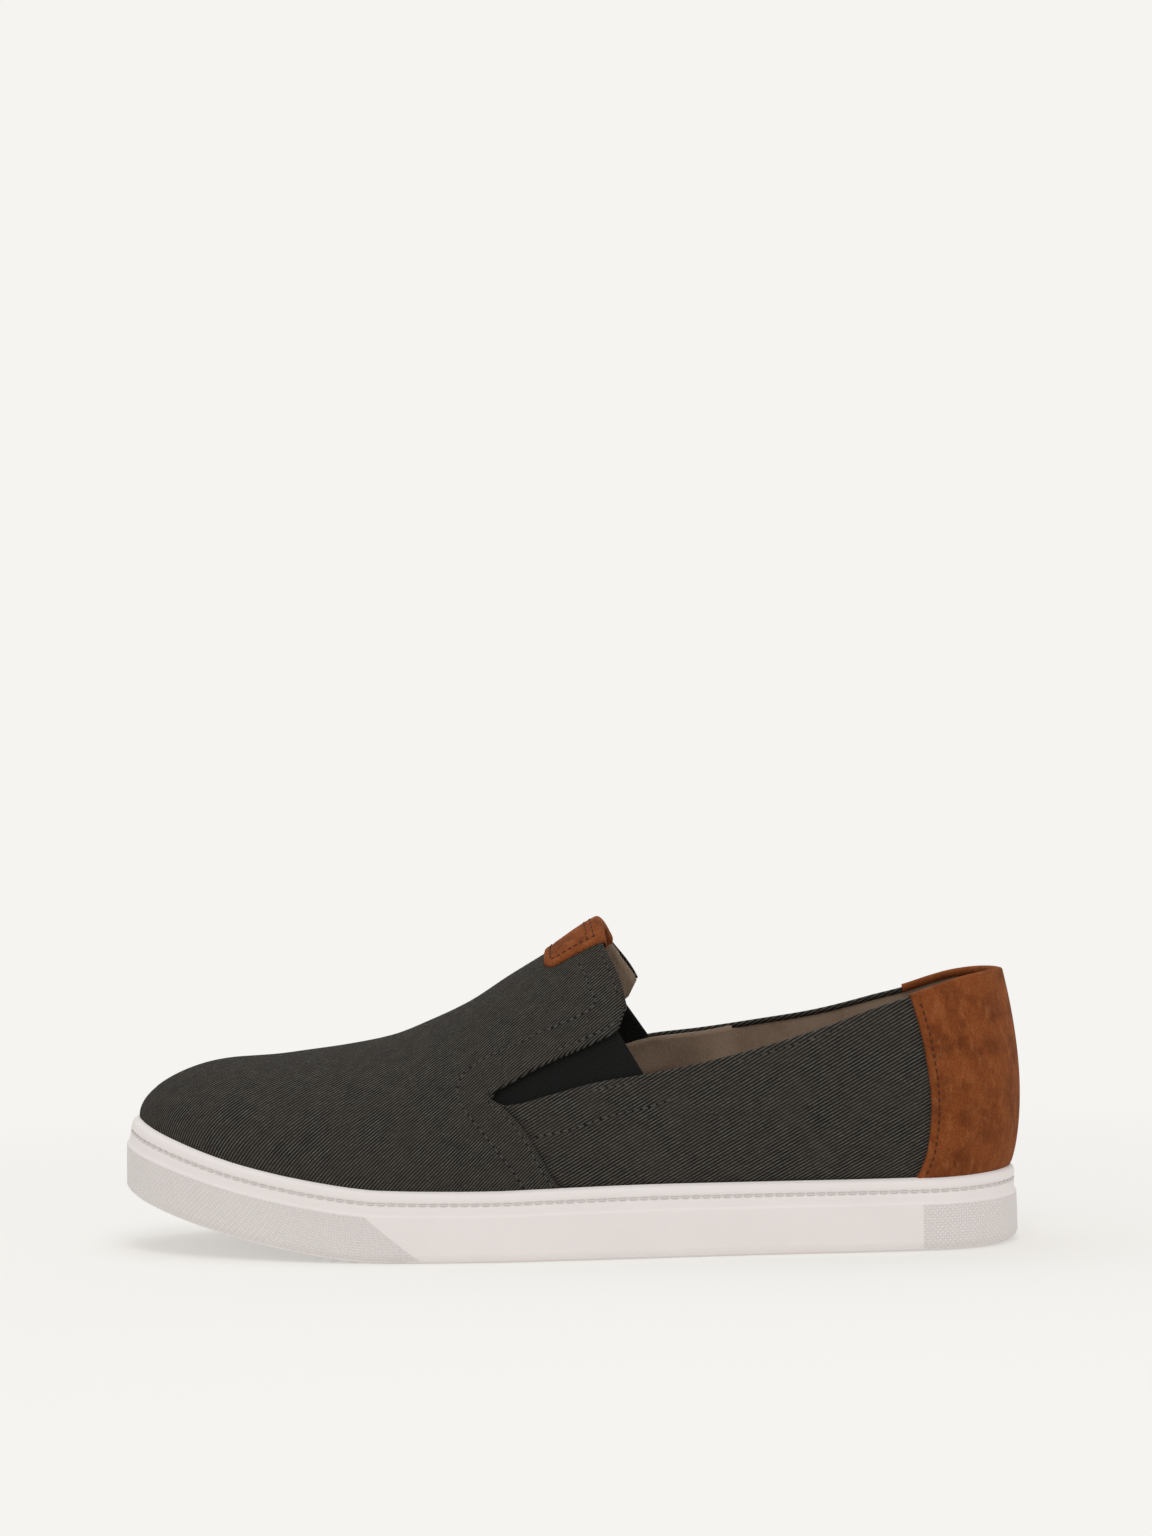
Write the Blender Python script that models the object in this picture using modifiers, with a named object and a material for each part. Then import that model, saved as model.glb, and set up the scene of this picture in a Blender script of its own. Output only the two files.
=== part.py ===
"""A man's left slip-on shoe: canvas upper with elastic side gores, suede heel patch and tab, rubber cup sole.

Metres, +Z up. The toe points along -X and the outer side of the foot faces -Y. The origin is on the
floor, under the middle of the shoe's bounding box.

The upper is drawn on a last. A point of the last has a side (-1 outer, +1 inner), a station s that runs
from the toe tip (0) round to the middle of the heel (1), and a height v from the rim of the sole (0) to
the crest of the instep (1). Below the rim v is negative, in metres, and the wall stands upright. A share
is a place along the length, 0 at the toe tip and 1 at the heel. Every piece of the upper is a patch of
that one surface, and each piece is an open grid given its thickness by Solidify.
"""

import math

import bmesh
import bpy
from mathutils import Matrix

OUTER = -1
INNER = 1

# Driving sizes of the sole
LENGTH = 0.2995
BALL_WIDTH = 0.108
SIDEWALL = 0.0243
TOE_SPRING = 0.0180
TOE_SPRING_FROM = 0.30
TOE_SPRING_POWER = 1.5
CUP_FLOOR = 0.0085
LIP = 0.0038
TOE_LIP = 0.0054
TOE_LIP_TO = 0.20
PANEL_STEP = 0.0004

# Driving sizes of the upper
INSTEP_HEIGHT = 0.1082
COLLAR_HEIGHT = 0.0895
UPPER_WALL = 0.0016
INSOLE_THICKNESS = 0.0050
GORE_WALL = 0.0011
GORE_HEM = 0.0060
PATCH_WALL = 0.0011
TAB_WALL = 0.0011
TAB_LENGTH = 0.0175
TAB_CORNER = 0.0050
TAB_HALF_WIDTH = 0.0135
TAB_RETURN = 0.0060
CLEARANCE = 0.0003

# How the last is laid out
SPINE_SHARE = 0.72
BULGE_REACH = 0.72
BULGE_POWER = 0.75
SEAM_SHARE = 0.4920
SLOT_ROUND = 0.0032
TONGUE_END_SHARE = 0.5515
TONGUE_FOOT_SHARE = {OUTER: 0.620, INNER: 0.682}

# How finely the grids are divided
VAMP_COLUMNS = 20
QUARTER_COLUMNS = 21
TONGUE_COLUMNS = 9
WALL_ROWS = 9
TOP_ROWS = 8
GORE_GRID = (9, 5)
PATCH_GRID = (8, 9)
TAB_GRID = (5, 8)
TAB_FOLD = 4

# Plan of the sole: half width and swing of its centre to the inner side, as shares of half the ball width
OUTLINE_COLUMNS = ("share", "half_width", "centre")
OUTLINE = [
    (0.00, 0.000, 0.130),
    (0.01, 0.250, 0.128),
    (0.03, 0.435, 0.122),
    (0.06, 0.590, 0.115),
    (0.10, 0.730, 0.102),
    (0.15, 0.845, 0.085),
    (0.20, 0.920, 0.062),
    (0.27, 0.982, 0.025),
    (0.34, 1.000, 0.000),
    (0.42, 0.972, -0.025),
    (0.50, 0.900, -0.045),
    (0.58, 0.825, -0.055),
    (0.66, 0.760, -0.048),
    (0.74, 0.715, -0.030),
    (0.82, 0.690, -0.012),
    (0.88, 0.660, 0.000),
    (0.93, 0.595, 0.000),
    (0.97, 0.445, 0.000),
    (0.99, 0.265, 0.000),
    (1.00, 0.000, 0.000),
]

# Height of the sidewall along the length, as a share of its common height
SIDEWALL_COLUMNS = ("share", "height")
SIDEWALL_RUN = [
    (0.00, 1.060),
    (0.05, 1.035),
    (0.15, 0.990),
    (0.25, 0.980),
    (0.34, 0.950),
    (0.42, 0.940),
    (0.50, 0.960),
    (0.60, 0.980),
    (0.75, 0.975),
    (0.90, 0.980),
    (1.00, 1.030),
]

# Sections of the last: fullness of the plan, fullness of the height, bulge over the rim, forward lean of
# the columns in stations
SECTION_COLUMNS = ("share", "plan", "rise", "bulge", "lean")
SECTIONS = [
    (0.00, 2.00, 2.00, 0.000, 0.000),
    (0.15, 2.05, 2.00, 0.000, -0.006),
    (0.30, 2.15, 1.85, 0.010, -0.038),
    (0.40, 2.15, 1.68, 0.015, -0.064),
    (0.48, 2.18, 1.55, 0.020, -0.076),
    (0.55, 2.20, 1.50, 0.030, -0.066),
    (0.70, 2.60, 1.55, 0.040, -0.025),
    (0.85, 2.90, 1.60, 0.060, 0.000),
    (0.95, 3.80, 1.85, 0.090, 0.000),
    (1.00, 6.00, 2.10, 0.105, 0.000),
]

# Height of the crest, as a share of the instep height; behind the tongue it is only a guide
CREST_COLUMNS = ("share", "height")
CREST = [
    (0.000, 0.550),
    (0.090, 0.572),
    (0.168, 0.583),
    (0.213, 0.598),
    (0.258, 0.615),
    (0.304, 0.640),
    (0.349, 0.687),
    (0.394, 0.744),
    (0.439, 0.822),
    (0.485, 0.899),
    (0.531, 0.982),
    (0.569, 1.030),
    (0.650, 1.110),
    (0.800, 1.175),
    (1.000, 1.200),
]

# Top edge of the quarters from the slot to the heel, as a share of the collar height
COLLAR_COLUMNS = ("share", "height", "inner_rise")
COLLAR = [
    (0.419, 0.551, 0.020),
    (0.453, 0.562, 0.026),
    (0.487, 0.591, 0.037),
    (0.543, 0.636, 0.067),
    (0.592, 0.659, 0.093),
    (0.647, 0.692, 0.080),
    (0.714, 0.744, 0.059),
    (0.781, 0.809, 0.029),
    (0.845, 0.884, 0.006),
    (0.885, 0.924, 0.000),
    (0.914, 0.956, 0.000),
    (0.938, 0.978, 0.000),
    (0.972, 0.995, 0.000),
    (1.000, 1.000, 0.000),
]

# Lower edge of the tongue over the slot, as a share of the collar height
TONGUE_EDGE_COLUMNS = ("share", "height", "inner_rise")
TONGUE_EDGE = [
    (0.419, 0.595, 0.018),
    (0.435, 0.620, 0.022),
    (0.479, 0.696, 0.040),
    (0.539, 0.780, 0.065),
    (0.559, 0.815, 0.070),
    (0.567, 0.850, 0.055),
    (0.571, 0.900, 0.025),
    (0.577, 0.960, 0.015),
]

# Side of the sole from the ground up: height as a share of the sidewall, inset as a share of the lip,
# and 1 where the row belongs to the knurled panels
SIDE_COLUMNS = ("height", "inset", "panel")
SIDE = [
    (0.000, 0.860, 0),
    (0.040, 0.330, 0),
    (0.125, 0.080, 0),
    (0.145, 0.080, 1),
    (0.635, 0.130, 1),
    (0.655, 0.130, 0),
    (0.680, 0.300, 0),
    (0.790, 0.330, 0),
    (0.798, 0.510, 0),
    (0.835, 0.510, 0),
    (0.843, 0.280, 0),
    (0.930, 0.330, 0),
    (0.980, 0.540, 0),
    (1.000, 0.800, 0),
]
TOE_TUCK = 0.0018
TOE_TUCK_FROM = 0.66
END_ROUND = 0.60
END_ROUND_TO = 0.125

# Ends of the knurled panels: place at the ground, place at the panel's top, and width of the border rib
PANEL_ENDS = {"toe": (0.318, 0.262), "heel": (0.893, 0.890)}
PANEL_BORDER = 0.0022
PANEL_TOP = 0.655

# Front edge of the heel patch, from the rim up to the collar, as a share of the length
PATCH_COLUMNS = ("height", "share")
PATCH_EDGE = [
    (0.00, 0.884),
    (0.20, 0.893),
    (0.50, 0.898),
    (0.75, 0.895),
    (1.00, 0.888),
]


def share_at(s):
    return (1 - math.cos(math.pi * s)) / 2


def station(share):
    """Station of a share of the length; even stations crowd together at the toe and the heel."""
    return math.acos(1 - 2 * min(max(share, 0.0), 1.0)) / math.pi


def share_of(x):
    return x / LENGTH + 0.5


def smooth_curve(xs, ys):
    """A smooth function through the points that never overshoots them."""
    widths = [b - a for a, b in zip(xs, xs[1:])]
    rises = [(b - a) / w for a, b, w in zip(ys, ys[1:], widths)]
    slopes = [rises[0]]
    for left, right, w0, w1 in zip(rises, rises[1:], widths, widths[1:]):
        a, b = 2 * w1 + w0, w1 + 2 * w0
        slopes.append((a + b) / (a / left + b / right) if left * right > 0 else 0.0)
    slopes.append(rises[-1])

    def at(x):
        x = min(max(x, xs[0]), xs[-1])
        i = max(k for k in range(len(widths)) if xs[k] <= x)
        w = widths[i]
        t = (x - xs[i]) / w
        return (
            ys[i] * (1 + 2 * t) * (1 - t) ** 2
            + slopes[i] * w * t * (1 - t) ** 2
            + ys[i + 1] * t * t * (3 - 2 * t)
            + slopes[i + 1] * w * t * t * (t - 1)
        )

    return at


def column_curves(names, rows, along=float):
    """One smooth function for each named column of a table, over its first column."""
    xs = [along(row[0]) for row in rows]
    return {name: smooth_curve(xs, [row[k] for row in rows]) for k, name in enumerate(names) if k}


OUTLINE_AT = column_curves(OUTLINE_COLUMNS, OUTLINE, station)
SECTION_AT = column_curves(SECTION_COLUMNS, SECTIONS, station)
SIDEWALL_AT = column_curves(SIDEWALL_COLUMNS, SIDEWALL_RUN)
CREST_AT = column_curves(CREST_COLUMNS, CREST)
COLLAR_AT = column_curves(COLLAR_COLUMNS, COLLAR)
TONGUE_EDGE_AT = column_curves(TONGUE_EDGE_COLUMNS, TONGUE_EDGE)
PATCH_AT = column_curves(PATCH_COLUMNS, PATCH_EDGE)


def solve(reached, low=0.0, high=1.0, steps=30):
    """The value between low and high where reached(value) turns true."""
    for _ in range(steps):
        middle = (low + high) / 2
        if reached(middle):
            high = middle
        else:
            low = middle
    return (low + high) / 2


def raw_outline(side, s):
    half = OUTLINE_AT["half_width"](s) * BALL_WIDTH / 2
    centre = OUTLINE_AT["centre"](s) * BALL_WIDTH / 2
    return (share_at(s) - 0.5) * LENGTH, centre + side * half


def outline(side, s, inset=0.0):
    """Point of the sole's outline in plan, moved inwards by inset."""
    x, y = raw_outline(side, s)
    step = 0.002
    if s < step:
        tangent = (0.0, float(side))
    elif s > 1 - step:
        tangent = (0.0, -float(side))
    else:
        a, b = raw_outline(side, s - step), raw_outline(side, s + step)
        tangent = (b[0] - a[0], b[1] - a[1])
    length = math.hypot(*tangent)
    return x + side * tangent[1] / length * inset, y - side * tangent[0] / length * inset


def towards_middle(side, s, inset, part):
    """Point in plan from the inset outline (part 0) to the middle between both sides (part 1)."""
    here, there = outline(side, s, inset), outline(-side, s, inset)
    return tuple(a + (b - a) * part / 2 for a, b in zip(here, there))


def spine(s):
    """The point in plan, under the crest, towards which a station's section runs."""
    x = SPINE_SHARE * (share_at(s) - 0.5) * LENGTH
    return x, OUTLINE_AT["centre"](station(share_of(x))) * BALL_WIDTH / 2


def ground(x):
    """Height of the sole's underside over the floor."""
    lift = max(TOE_SPRING_FROM - share_of(x), 0.0) / TOE_SPRING_FROM
    return TOE_SPRING * lift**TOE_SPRING_POWER


def sole_height(x):
    """Height of the sidewall, more at the toe and the heel than at the ball of the foot."""
    return SIDEWALL * SIDEWALL_AT["height"](share_of(x))


def rim(side, s):
    """Height of the top of the lip at a station."""
    x = outline(side, s)[0]
    return ground(x) + sole_height(x)


def toe_part(s):
    """1 at the toe tip, falling softly to 0 where the lip has its common width."""
    t = max(1 - s / station(TOE_LIP_TO), 0.0)
    return t * t * (3 - 2 * t)


def lip_width(s):
    return LIP + (TOE_LIP - LIP) * toe_part(s)


def last(side, s, v):
    """A point of the last."""
    foot = outline(side, s, lip_width(s))
    base = rim(side, s)
    if v < 0:
        return foot[0], foot[1], base + v
    top = spine(s)
    angle = min(v, 1.0) * math.pi / 2
    reach = max(math.cos(angle), 0.0) ** (2 / SECTION_AT["plan"](s))
    lift = math.sin(angle) ** (2 / SECTION_AT["rise"](s))
    q = min(lift / BULGE_REACH, 1.0) ** BULGE_POWER
    reach *= 1 + SECTION_AT["bulge"](s) * 4 * q * (1 - q)
    x = top[0] + (foot[0] - top[0]) * reach
    y = top[1] + (foot[1] - top[1]) * reach
    crest = CREST_AT["height"](share_of(x)) * INSTEP_HEIGHT
    return x, y, base + (crest - base) * lift


def moved(side, s, v, offset):
    """A point of the last moved along its normal; positive is outwards."""
    if v < 0:
        x, y = outline(side, s, lip_width(s) - offset)
        return x, y, rim(side, s) + v
    step = 0.004
    before = last(-side, step - s, v) if s < step else last(side, s - step, v)
    after = last(-side, 2 - step - s, v) if s > 1 - step else last(side, s + step, v)
    under = last(side, s, max(v - step, 0.0))
    over = last(-side, s, 2 - step - v) if v > 1 - step else last(side, s, v + step)
    a = [q - p for p, q in zip(before, after)]
    b = [q - p for p, q in zip(under, over)]
    normal = (a[1] * b[2] - a[2] * b[1], a[2] * b[0] - a[0] * b[2], a[0] * b[1] - a[1] * b[0])
    size = -side * math.sqrt(sum(c * c for c in normal))
    return tuple(p + offset * n / size for p, n in zip(last(side, s, v), normal))


def leaning(foot, top, v):
    """Station at height v of a column that starts at foot on the rim and ends at top on the crest."""
    v = min(max(v, 0.0), 1.0)
    return foot + (top - foot) * v * (2 - v)


def wall_column(s):
    return s, s + SECTION_AT["lean"](s)


def tongue_column(side, part):
    """Columns over the slot: part is 0 at the seam and 1 at the tongue's end."""
    foot, top = wall_column(station(SEAM_SHARE))
    return (
        foot + (station(TONGUE_FOOT_SHARE[side]) - foot) * part,
        top + (station(TONGUE_END_SHARE) - top) * part,
    )


def on_column(side, column, v, offset=0.0):
    s = leaning(*column, v)
    return moved(side, s, v, offset) if offset else last(side, s, v)


def slot_edges(side, share):
    """Heights of the quarter's edge and of the tongue's edge over it, where the slot is open."""
    return [
        (curves["height"](share) + (curves["inner_rise"](share) if side == INNER else 0.0)) * COLLAR_HEIGHT
        for curves in (COLLAR_AT, TONGUE_EDGE_AT)
    ]


def find_slot_tip(side):
    """Height v and share of the slot's round tip, which lies on the seam's column."""

    def reached(v):
        x, _, z = on_column(side, wall_column(SEAM), v)
        return z >= sum(slot_edges(side, share_of(x))) / 2

    v = solve(reached)
    return v, share_of(on_column(side, wall_column(SEAM), v)[0])


SEAM = station(SEAM_SHARE)
SLOT_TIP = {side: find_slot_tip(side) for side in (OUTER, INNER)}


def edge_height(side, share, over_slot):
    """Height of the tongue's edge (over the slot) or of the quarter's; they meet at the slot's round tip."""
    low, high = slot_edges(side, share)
    run = min(max((share - SLOT_TIP[side][1]) * LENGTH / SLOT_ROUND, 0.0), 1.0)
    middle = (low + high) / 2
    wanted = high if over_slot else low
    return middle + (wanted - middle) * math.sqrt(1 - (1 - run) ** 2)


def edge_on_column(side, column, over_slot):
    """The height v where a column meets the tongue's or the quarter's edge."""

    def reached(v):
        x, _, z = on_column(side, column, v)
        return z >= edge_height(side, share_of(x), over_slot)

    return solve(reached)


def seen_at(side, x, z):
    """Station and height of the point of the last that a side view shows at x, z."""
    s = station(share_of(x))
    for _ in range(10):
        v = solve(lambda height: last(side, s, height)[2] >= z, steps=22)
        s = station(share_at(s) + (x - last(side, s, v)[0]) / LENGTH)
    return s, v


def spread(low, high, count):
    """count + 1 even values from low to high."""
    return [low + (high - low) * k / count for k in range(count + 1)]


class Sheet:
    """A mesh built up from grids of points; points that coincide are shared."""

    def __init__(self):
        self.bm = bmesh.new()
        self.seen = {}

    def point(self, p):
        key = tuple(round(c * 1e6) for c in p)
        if key not in self.seen:
            self.seen[key] = self.bm.verts.new(p)
        return self.seen[key]

    def grid(self, columns, turned):
        for left, right in zip(columns, columns[1:]):
            for a, b, c, d in zip(left, right, right[1:], left[1:]):
                corners = [self.point(p) for p in ((a, d, c, b) if turned else (a, b, c, d))]
                ring = [v for k, v in enumerate(corners) if v is not corners[k - 1]]
                if len(ring) > 2:
                    self.bm.faces.new(ring)

    def make(self, name, collection, material, thickness=0.0, outwards=False):
        mesh = bpy.data.meshes.new(name)
        self.bm.to_mesh(mesh)
        self.bm.free()
        mesh.materials.append(material)
        mesh.shade_smooth()
        mesh.set_sharp_from_angle(angle=math.radians(38))
        piece = bpy.data.objects.new(name, mesh)
        collection.objects.link(piece)
        if thickness:
            wall = piece.modifiers.new("wall", "SOLIDIFY")
            wall.thickness = thickness
            wall.offset = 1.0 if outwards else -1.0
            wall.use_even_offset = True
            wall.use_rim = True
        return piece


def below_rim(side, s):
    """Depth of the upper's lower edge under the rim, just over the floor of the cup."""
    x = outline(side, s, lip_width(s))[0]
    return rim(side, s) - ground(x) - CUP_FLOOR - CLEARANCE


VAMP = spread(0.0, SEAM, VAMP_COLUMNS)
QUARTER = spread(SEAM, 1.0, QUARTER_COLUMNS)
SLOT_START = [SEAM + extra for extra in (0.002, 0.005, 0.010, 0.016)]
TONGUE_PARTS = [0.0, 0.012, 0.035, 0.07] + spread(0.0, 1.0, TONGUE_COLUMNS)[1:-1] + [0.95, 0.98, 1.0]


def make_upper(collection, material):
    sheet = Sheet()
    for side in (OUTER, INNER):
        tip = SLOT_TIP[side][0]
        vamp, tongue, quarter = [], [], []
        for s in VAMP:
            column = wall_column(s)
            rows = [-below_rim(side, s)] + spread(0.0, tip, WALL_ROWS)
            rows += spread(tip, 1.0, TOP_ROWS)[1:]
            vamp.append([on_column(side, column, v) for v in rows])
        for part in TONGUE_PARTS:
            column = tongue_column(side, part)
            edge = edge_on_column(side, column, over_slot=True) if part else tip
            tongue.append([on_column(side, column, v) for v in spread(edge, 1.0, TOP_ROWS)])
        for s in sorted(QUARTER + SLOT_START):
            column = wall_column(s)
            edge = edge_on_column(side, column, over_slot=False) if s > SEAM else tip
            rows = [-below_rim(side, s)] + spread(0.0, edge, WALL_ROWS)
            quarter.append([on_column(side, column, v) for v in rows])
        for columns in (vamp, tongue, quarter):
            sheet.grid(columns, turned=side == INNER)
    return sheet.make("upper", collection, material, UPPER_WALL)


# Lower and upper run of the gore behind its slot, and its straight rear edge, as shares of the length
GORE_FRONT_SHARE = 0.407
GORE_REAR_SHARES = (0.602, 0.553)


def make_gore(name, side, collection, material):
    """The elastic gore: a sheet behind the slot that reaches under both edges by a hem."""
    sheet = Sheet()
    columns = []
    for part in spread(0.0, 1.0, GORE_GRID[0]):
        shares = [GORE_FRONT_SHARE + (rear - GORE_FRONT_SHARE) * part for rear in GORE_REAR_SHARES]
        low = edge_height(side, shares[0], over_slot=False) - GORE_HEM
        high = edge_height(side, shares[1], over_slot=True) + GORE_HEM
        column = []
        for t in spread(0.0, 1.0, GORE_GRID[1]):
            share = shares[0] + (shares[1] - shares[0]) * t
            s, v = seen_at(side, (share - 0.5) * LENGTH, low + (high - low) * t)
            column.append(moved(side, s, v, -UPPER_WALL - CLEARANCE))
        columns.append(column)
    sheet.grid(columns, turned=side == INNER)
    return sheet.make(name, collection, material, GORE_WALL)


def make_heel_patch(collection, material):
    sheet = Sheet()
    for side in (OUTER, INNER):
        columns = []
        for part in spread(0.0, 1.0, PATCH_GRID[0]):
            column = []
            for height in spread(0.0, 1.0, PATCH_GRID[1]):
                front = station(PATCH_AT["share"](height))
                s = front + (1 - front) * part
                top = edge_on_column(side, (s, s), over_slot=False)
                low = solve(lambda v: last(side, s, v)[2] >= rim(side, s) + CLEARANCE)
                v = low + (top - low) * height
                column.append(moved(side, s, v, CLEARANCE))
            columns.append(column)
        sheet.grid(columns, turned=side == INNER)
    return sheet.make("heel_patch", collection, material, PATCH_WALL, outwards=True)


def make_tab(collection, material):
    """The tab lies on the tongue, folds round its end and returns a little way underneath."""
    sheet = Sheet()
    end_x = on_column(OUTER, tongue_column(OUTER, 1.0), 1.0)[0]

    def part_at(x):
        return solve(lambda p: on_column(OUTER, tongue_column(OUTER, p), 1.0)[0] >= x)

    for side in (OUTER, INNER):
        columns = []
        for t in spread(0.0, 1.0, TAB_GRID[1] // 2):
            across = TAB_HALF_WIDTH * (1 - t * t)
            outer = max(across - TAB_HALF_WIDTH + TAB_CORNER, 0.0) / TAB_CORNER
            length = TAB_LENGTH - TAB_CORNER * (1 - math.sqrt(1 - outer * outer))
            column = []
            for back in spread(1.0, 0.0, TAB_GRID[0]):
                part = part_at(end_x - length * back)
                line = tongue_column(side, part)
                v = solve(lambda h: abs(on_column(side, line, h)[1] - spine(line[1])[1]) <= across)
                column.append((line, v if across else 1.0))
            columns.append(column)
        rows = [[on_column(side, line, v, CLEARANCE) for line, v in column] for column in columns]
        for row, column in zip(rows, columns):
            line, v = column[-1]
            top = on_column(side, line, v, CLEARANCE)
            low = on_column(side, line, v, -UPPER_WALL - CLEARANCE)
            inner_line = column[-2][0]
            inner = on_column(side, inner_line, v, -UPPER_WALL - CLEARANCE)
            back = [b - a for a, b in zip(inner, low)]
            size = math.sqrt(sum(c * c for c in back))
            centre = [(a + b) / 2 for a, b in zip(top, low)]
            radius = [(a - b) / 2 for a, b in zip(top, low)]
            reach = math.sqrt(sum(c * c for c in radius))
            for k in range(1, TAB_FOLD):
                angle = math.pi * k / TAB_FOLD
                row.append(tuple(
                    c + r * math.cos(angle) + b / size * reach * math.sin(angle)
                    for c, r, b in zip(centre, radius, back)
                ))
            row.append(low)
            row.append(tuple(a - b / size * TAB_RETURN for a, b in zip(low, back)))
        sheet.grid([list(line) for line in zip(*rows)], turned=side == INNER)
    return sheet.make("tongue_tab", collection, material, TAB_WALL, outwards=True)


def make_insole(collection, material):
    """The footbed: a sheet just over the floor of the cup, thickened upwards."""
    sheet = Sheet()
    stations = VAMP + QUARTER[1:]
    for side in (OUTER, INNER):
        columns = []
        for s in stations:
            inset = lip_width(s) + UPPER_WALL + CLEARANCE
            column = []
            for t in (0.0, 0.5, 1.0):
                x, y = towards_middle(side, s, inset, t)
                column.append((x, y, ground(x) + CUP_FLOOR + CLEARANCE))
            columns.append(column)
        sheet.grid(columns, turned=side == INNER)
    return sheet.make("insole", collection, material, INSOLE_THICKNESS, outwards=True)


def panel_lean(s, height):
    """How far a column of the sidewall is moved back low down, to follow the toe panel's slanted end."""
    low, high = (station(share) for share in PANEL_ENDS["toe"])
    near = max(1 - abs(s - high) / 0.16, 0.0)
    fall = max(1 - height / PANEL_TOP, 0.0)
    return s + (low - high) * near * near * (3 - 2 * near) * fall


def side_point(side, s, row):
    height, inset, panel = row
    toe = toe_part(s)
    heel = max(1 - (1 - s) / station(TOE_LIP_TO), 0.0)
    inset *= LIP
    if height < END_ROUND_TO:
        inset *= 1 + END_ROUND * max(toe, heel)
    inset += toe * TOE_TUCK * max(height - TOE_TUCK_FROM, 0.0) / (1 - TOE_TUCK_FROM)
    if panel and (s < station(PANEL_ENDS["toe"][1]) + 1e-6 or s > station(PANEL_ENDS["heel"][1]) - 1e-6):
        inset += PANEL_STEP
    at = panel_lean(s, height)
    x, y = outline(side, at, inset)
    base = outline(side, at)[0]
    return x, y, ground(base) + sole_height(base) * height


def make_outsole(collection, material):
    """The cup sole as a loft: underside, sidewall, lip, inner wall and the floor of the cup."""
    sheet = Sheet()
    toe_end, heel_end = station(PANEL_ENDS["toe"][1]), station(PANEL_ENDS["heel"][1])
    rib = PANEL_BORDER / LENGTH
    stations = VAMP + QUARTER[1:]
    for end, step in ((toe_end, rib), (heel_end, -rib)):
        stations = [s for s in stations if abs(s - end) > 0.008 and abs(s - end - step) > 0.008]
        stations += [end, end + step]
    stations.sort()
    for side in (OUTER, INNER):
        columns = []
        for s in stations:
            inner = lip_width(s) - CLEARANCE
            under, across = (side_point(k, s, SIDE[0]) for k in (side, -side))
            column = [tuple(a + (b - a) * t / 2 for a, b in zip(under, across)) for t in (1.0, 0.5)]
            column += [side_point(side, s, row) for row in SIDE]
            x, y = outline(side, s, inner)
            column.append((x, y, rim(side, s)))
            for t in (0.0, 0.5, 1.0):
                x, y = towards_middle(side, s, inner, t)
                column.append((x, y, ground(x) + CUP_FLOOR))
            columns.append(column)
        sheet.grid(columns, turned=side == INNER)
    return sheet.make("outsole", collection, material)


def centre_on_origin(pieces):
    """Move the shoe so that the middle of its bounding box stands over the origin."""
    bpy.context.view_layer.update()
    graph = bpy.context.evaluated_depsgraph_get()
    corners = [corner for piece in pieces for corner in piece.evaluated_get(graph).bound_box]
    shift = [-(min(c[k] for c in corners) + max(c[k] for c in corners)) / 2 for k in (0, 1)]
    for piece in pieces:
        piece.data.transform(Matrix.Translation((*shift, 0.0)))


def make_material(name, colour, roughness):
    material = bpy.data.materials.new(name)
    material.use_nodes = True
    shader = material.node_tree.nodes["Principled BSDF"]
    shader.inputs["Base Color"].default_value = (*colour, 1.0)
    shader.inputs["Roughness"].default_value = roughness
    shader.inputs["Metallic"].default_value = 0.0
    return material


def main():
    for old in list(bpy.data.objects):
        bpy.data.objects.remove(old)
    shoe = bpy.data.collections.new("slip_on_shoe")
    bpy.context.scene.collection.children.link(shoe)
    rubber = make_material("sole_rubber", (0.80, 0.76, 0.75), 0.55)
    foam = make_material("insole_fabric", (0.42, 0.37, 0.32), 0.90)
    canvas = make_material("grey_twill", (0.075, 0.075, 0.080), 0.92)
    elastic = make_material("ribbed_elastic", (0.012, 0.015, 0.015), 0.85)
    suede = make_material("brown_suede", (0.22, 0.13, 0.075), 0.90)
    make_outsole(shoe, rubber)
    make_insole(shoe, foam)
    make_upper(shoe, canvas)
    make_gore("elastic_lateral", OUTER, shoe, elastic)
    make_gore("elastic_medial", INNER, shoe, elastic)
    make_heel_patch(shoe, suede)
    make_tab(shoe, suede)
    centre_on_origin(shoe.objects)


main()
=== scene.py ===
"""A left canvas slip-on shoe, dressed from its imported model.

Everything is in metres in the row frame: toe along -X, outer side -Y, +Z up. The upper's pieces repeat the
part's own last (a side, a station s from toe tip to heel, a height v from the rim of the sole to the crest)
at a finer step, and carry the panels, hems, stitches and nap of the photo.
"""

import math
from bisect import bisect_right

import bmesh
import bpy
from mathutils import Euler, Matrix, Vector, noise


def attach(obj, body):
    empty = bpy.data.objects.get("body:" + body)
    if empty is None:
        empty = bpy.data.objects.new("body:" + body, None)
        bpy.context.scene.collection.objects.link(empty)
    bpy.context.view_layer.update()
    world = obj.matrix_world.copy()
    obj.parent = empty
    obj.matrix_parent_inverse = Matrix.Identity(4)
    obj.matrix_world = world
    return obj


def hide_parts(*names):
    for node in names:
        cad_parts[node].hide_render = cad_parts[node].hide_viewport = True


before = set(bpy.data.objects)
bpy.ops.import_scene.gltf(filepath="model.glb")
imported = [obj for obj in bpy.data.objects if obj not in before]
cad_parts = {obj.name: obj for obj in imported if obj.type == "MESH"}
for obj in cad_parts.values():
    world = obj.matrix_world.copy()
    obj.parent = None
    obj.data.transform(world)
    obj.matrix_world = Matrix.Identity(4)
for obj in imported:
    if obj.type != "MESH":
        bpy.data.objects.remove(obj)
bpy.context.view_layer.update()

OUTER = -1
INNER = 1
BOTH = (OUTER, INNER)

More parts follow.
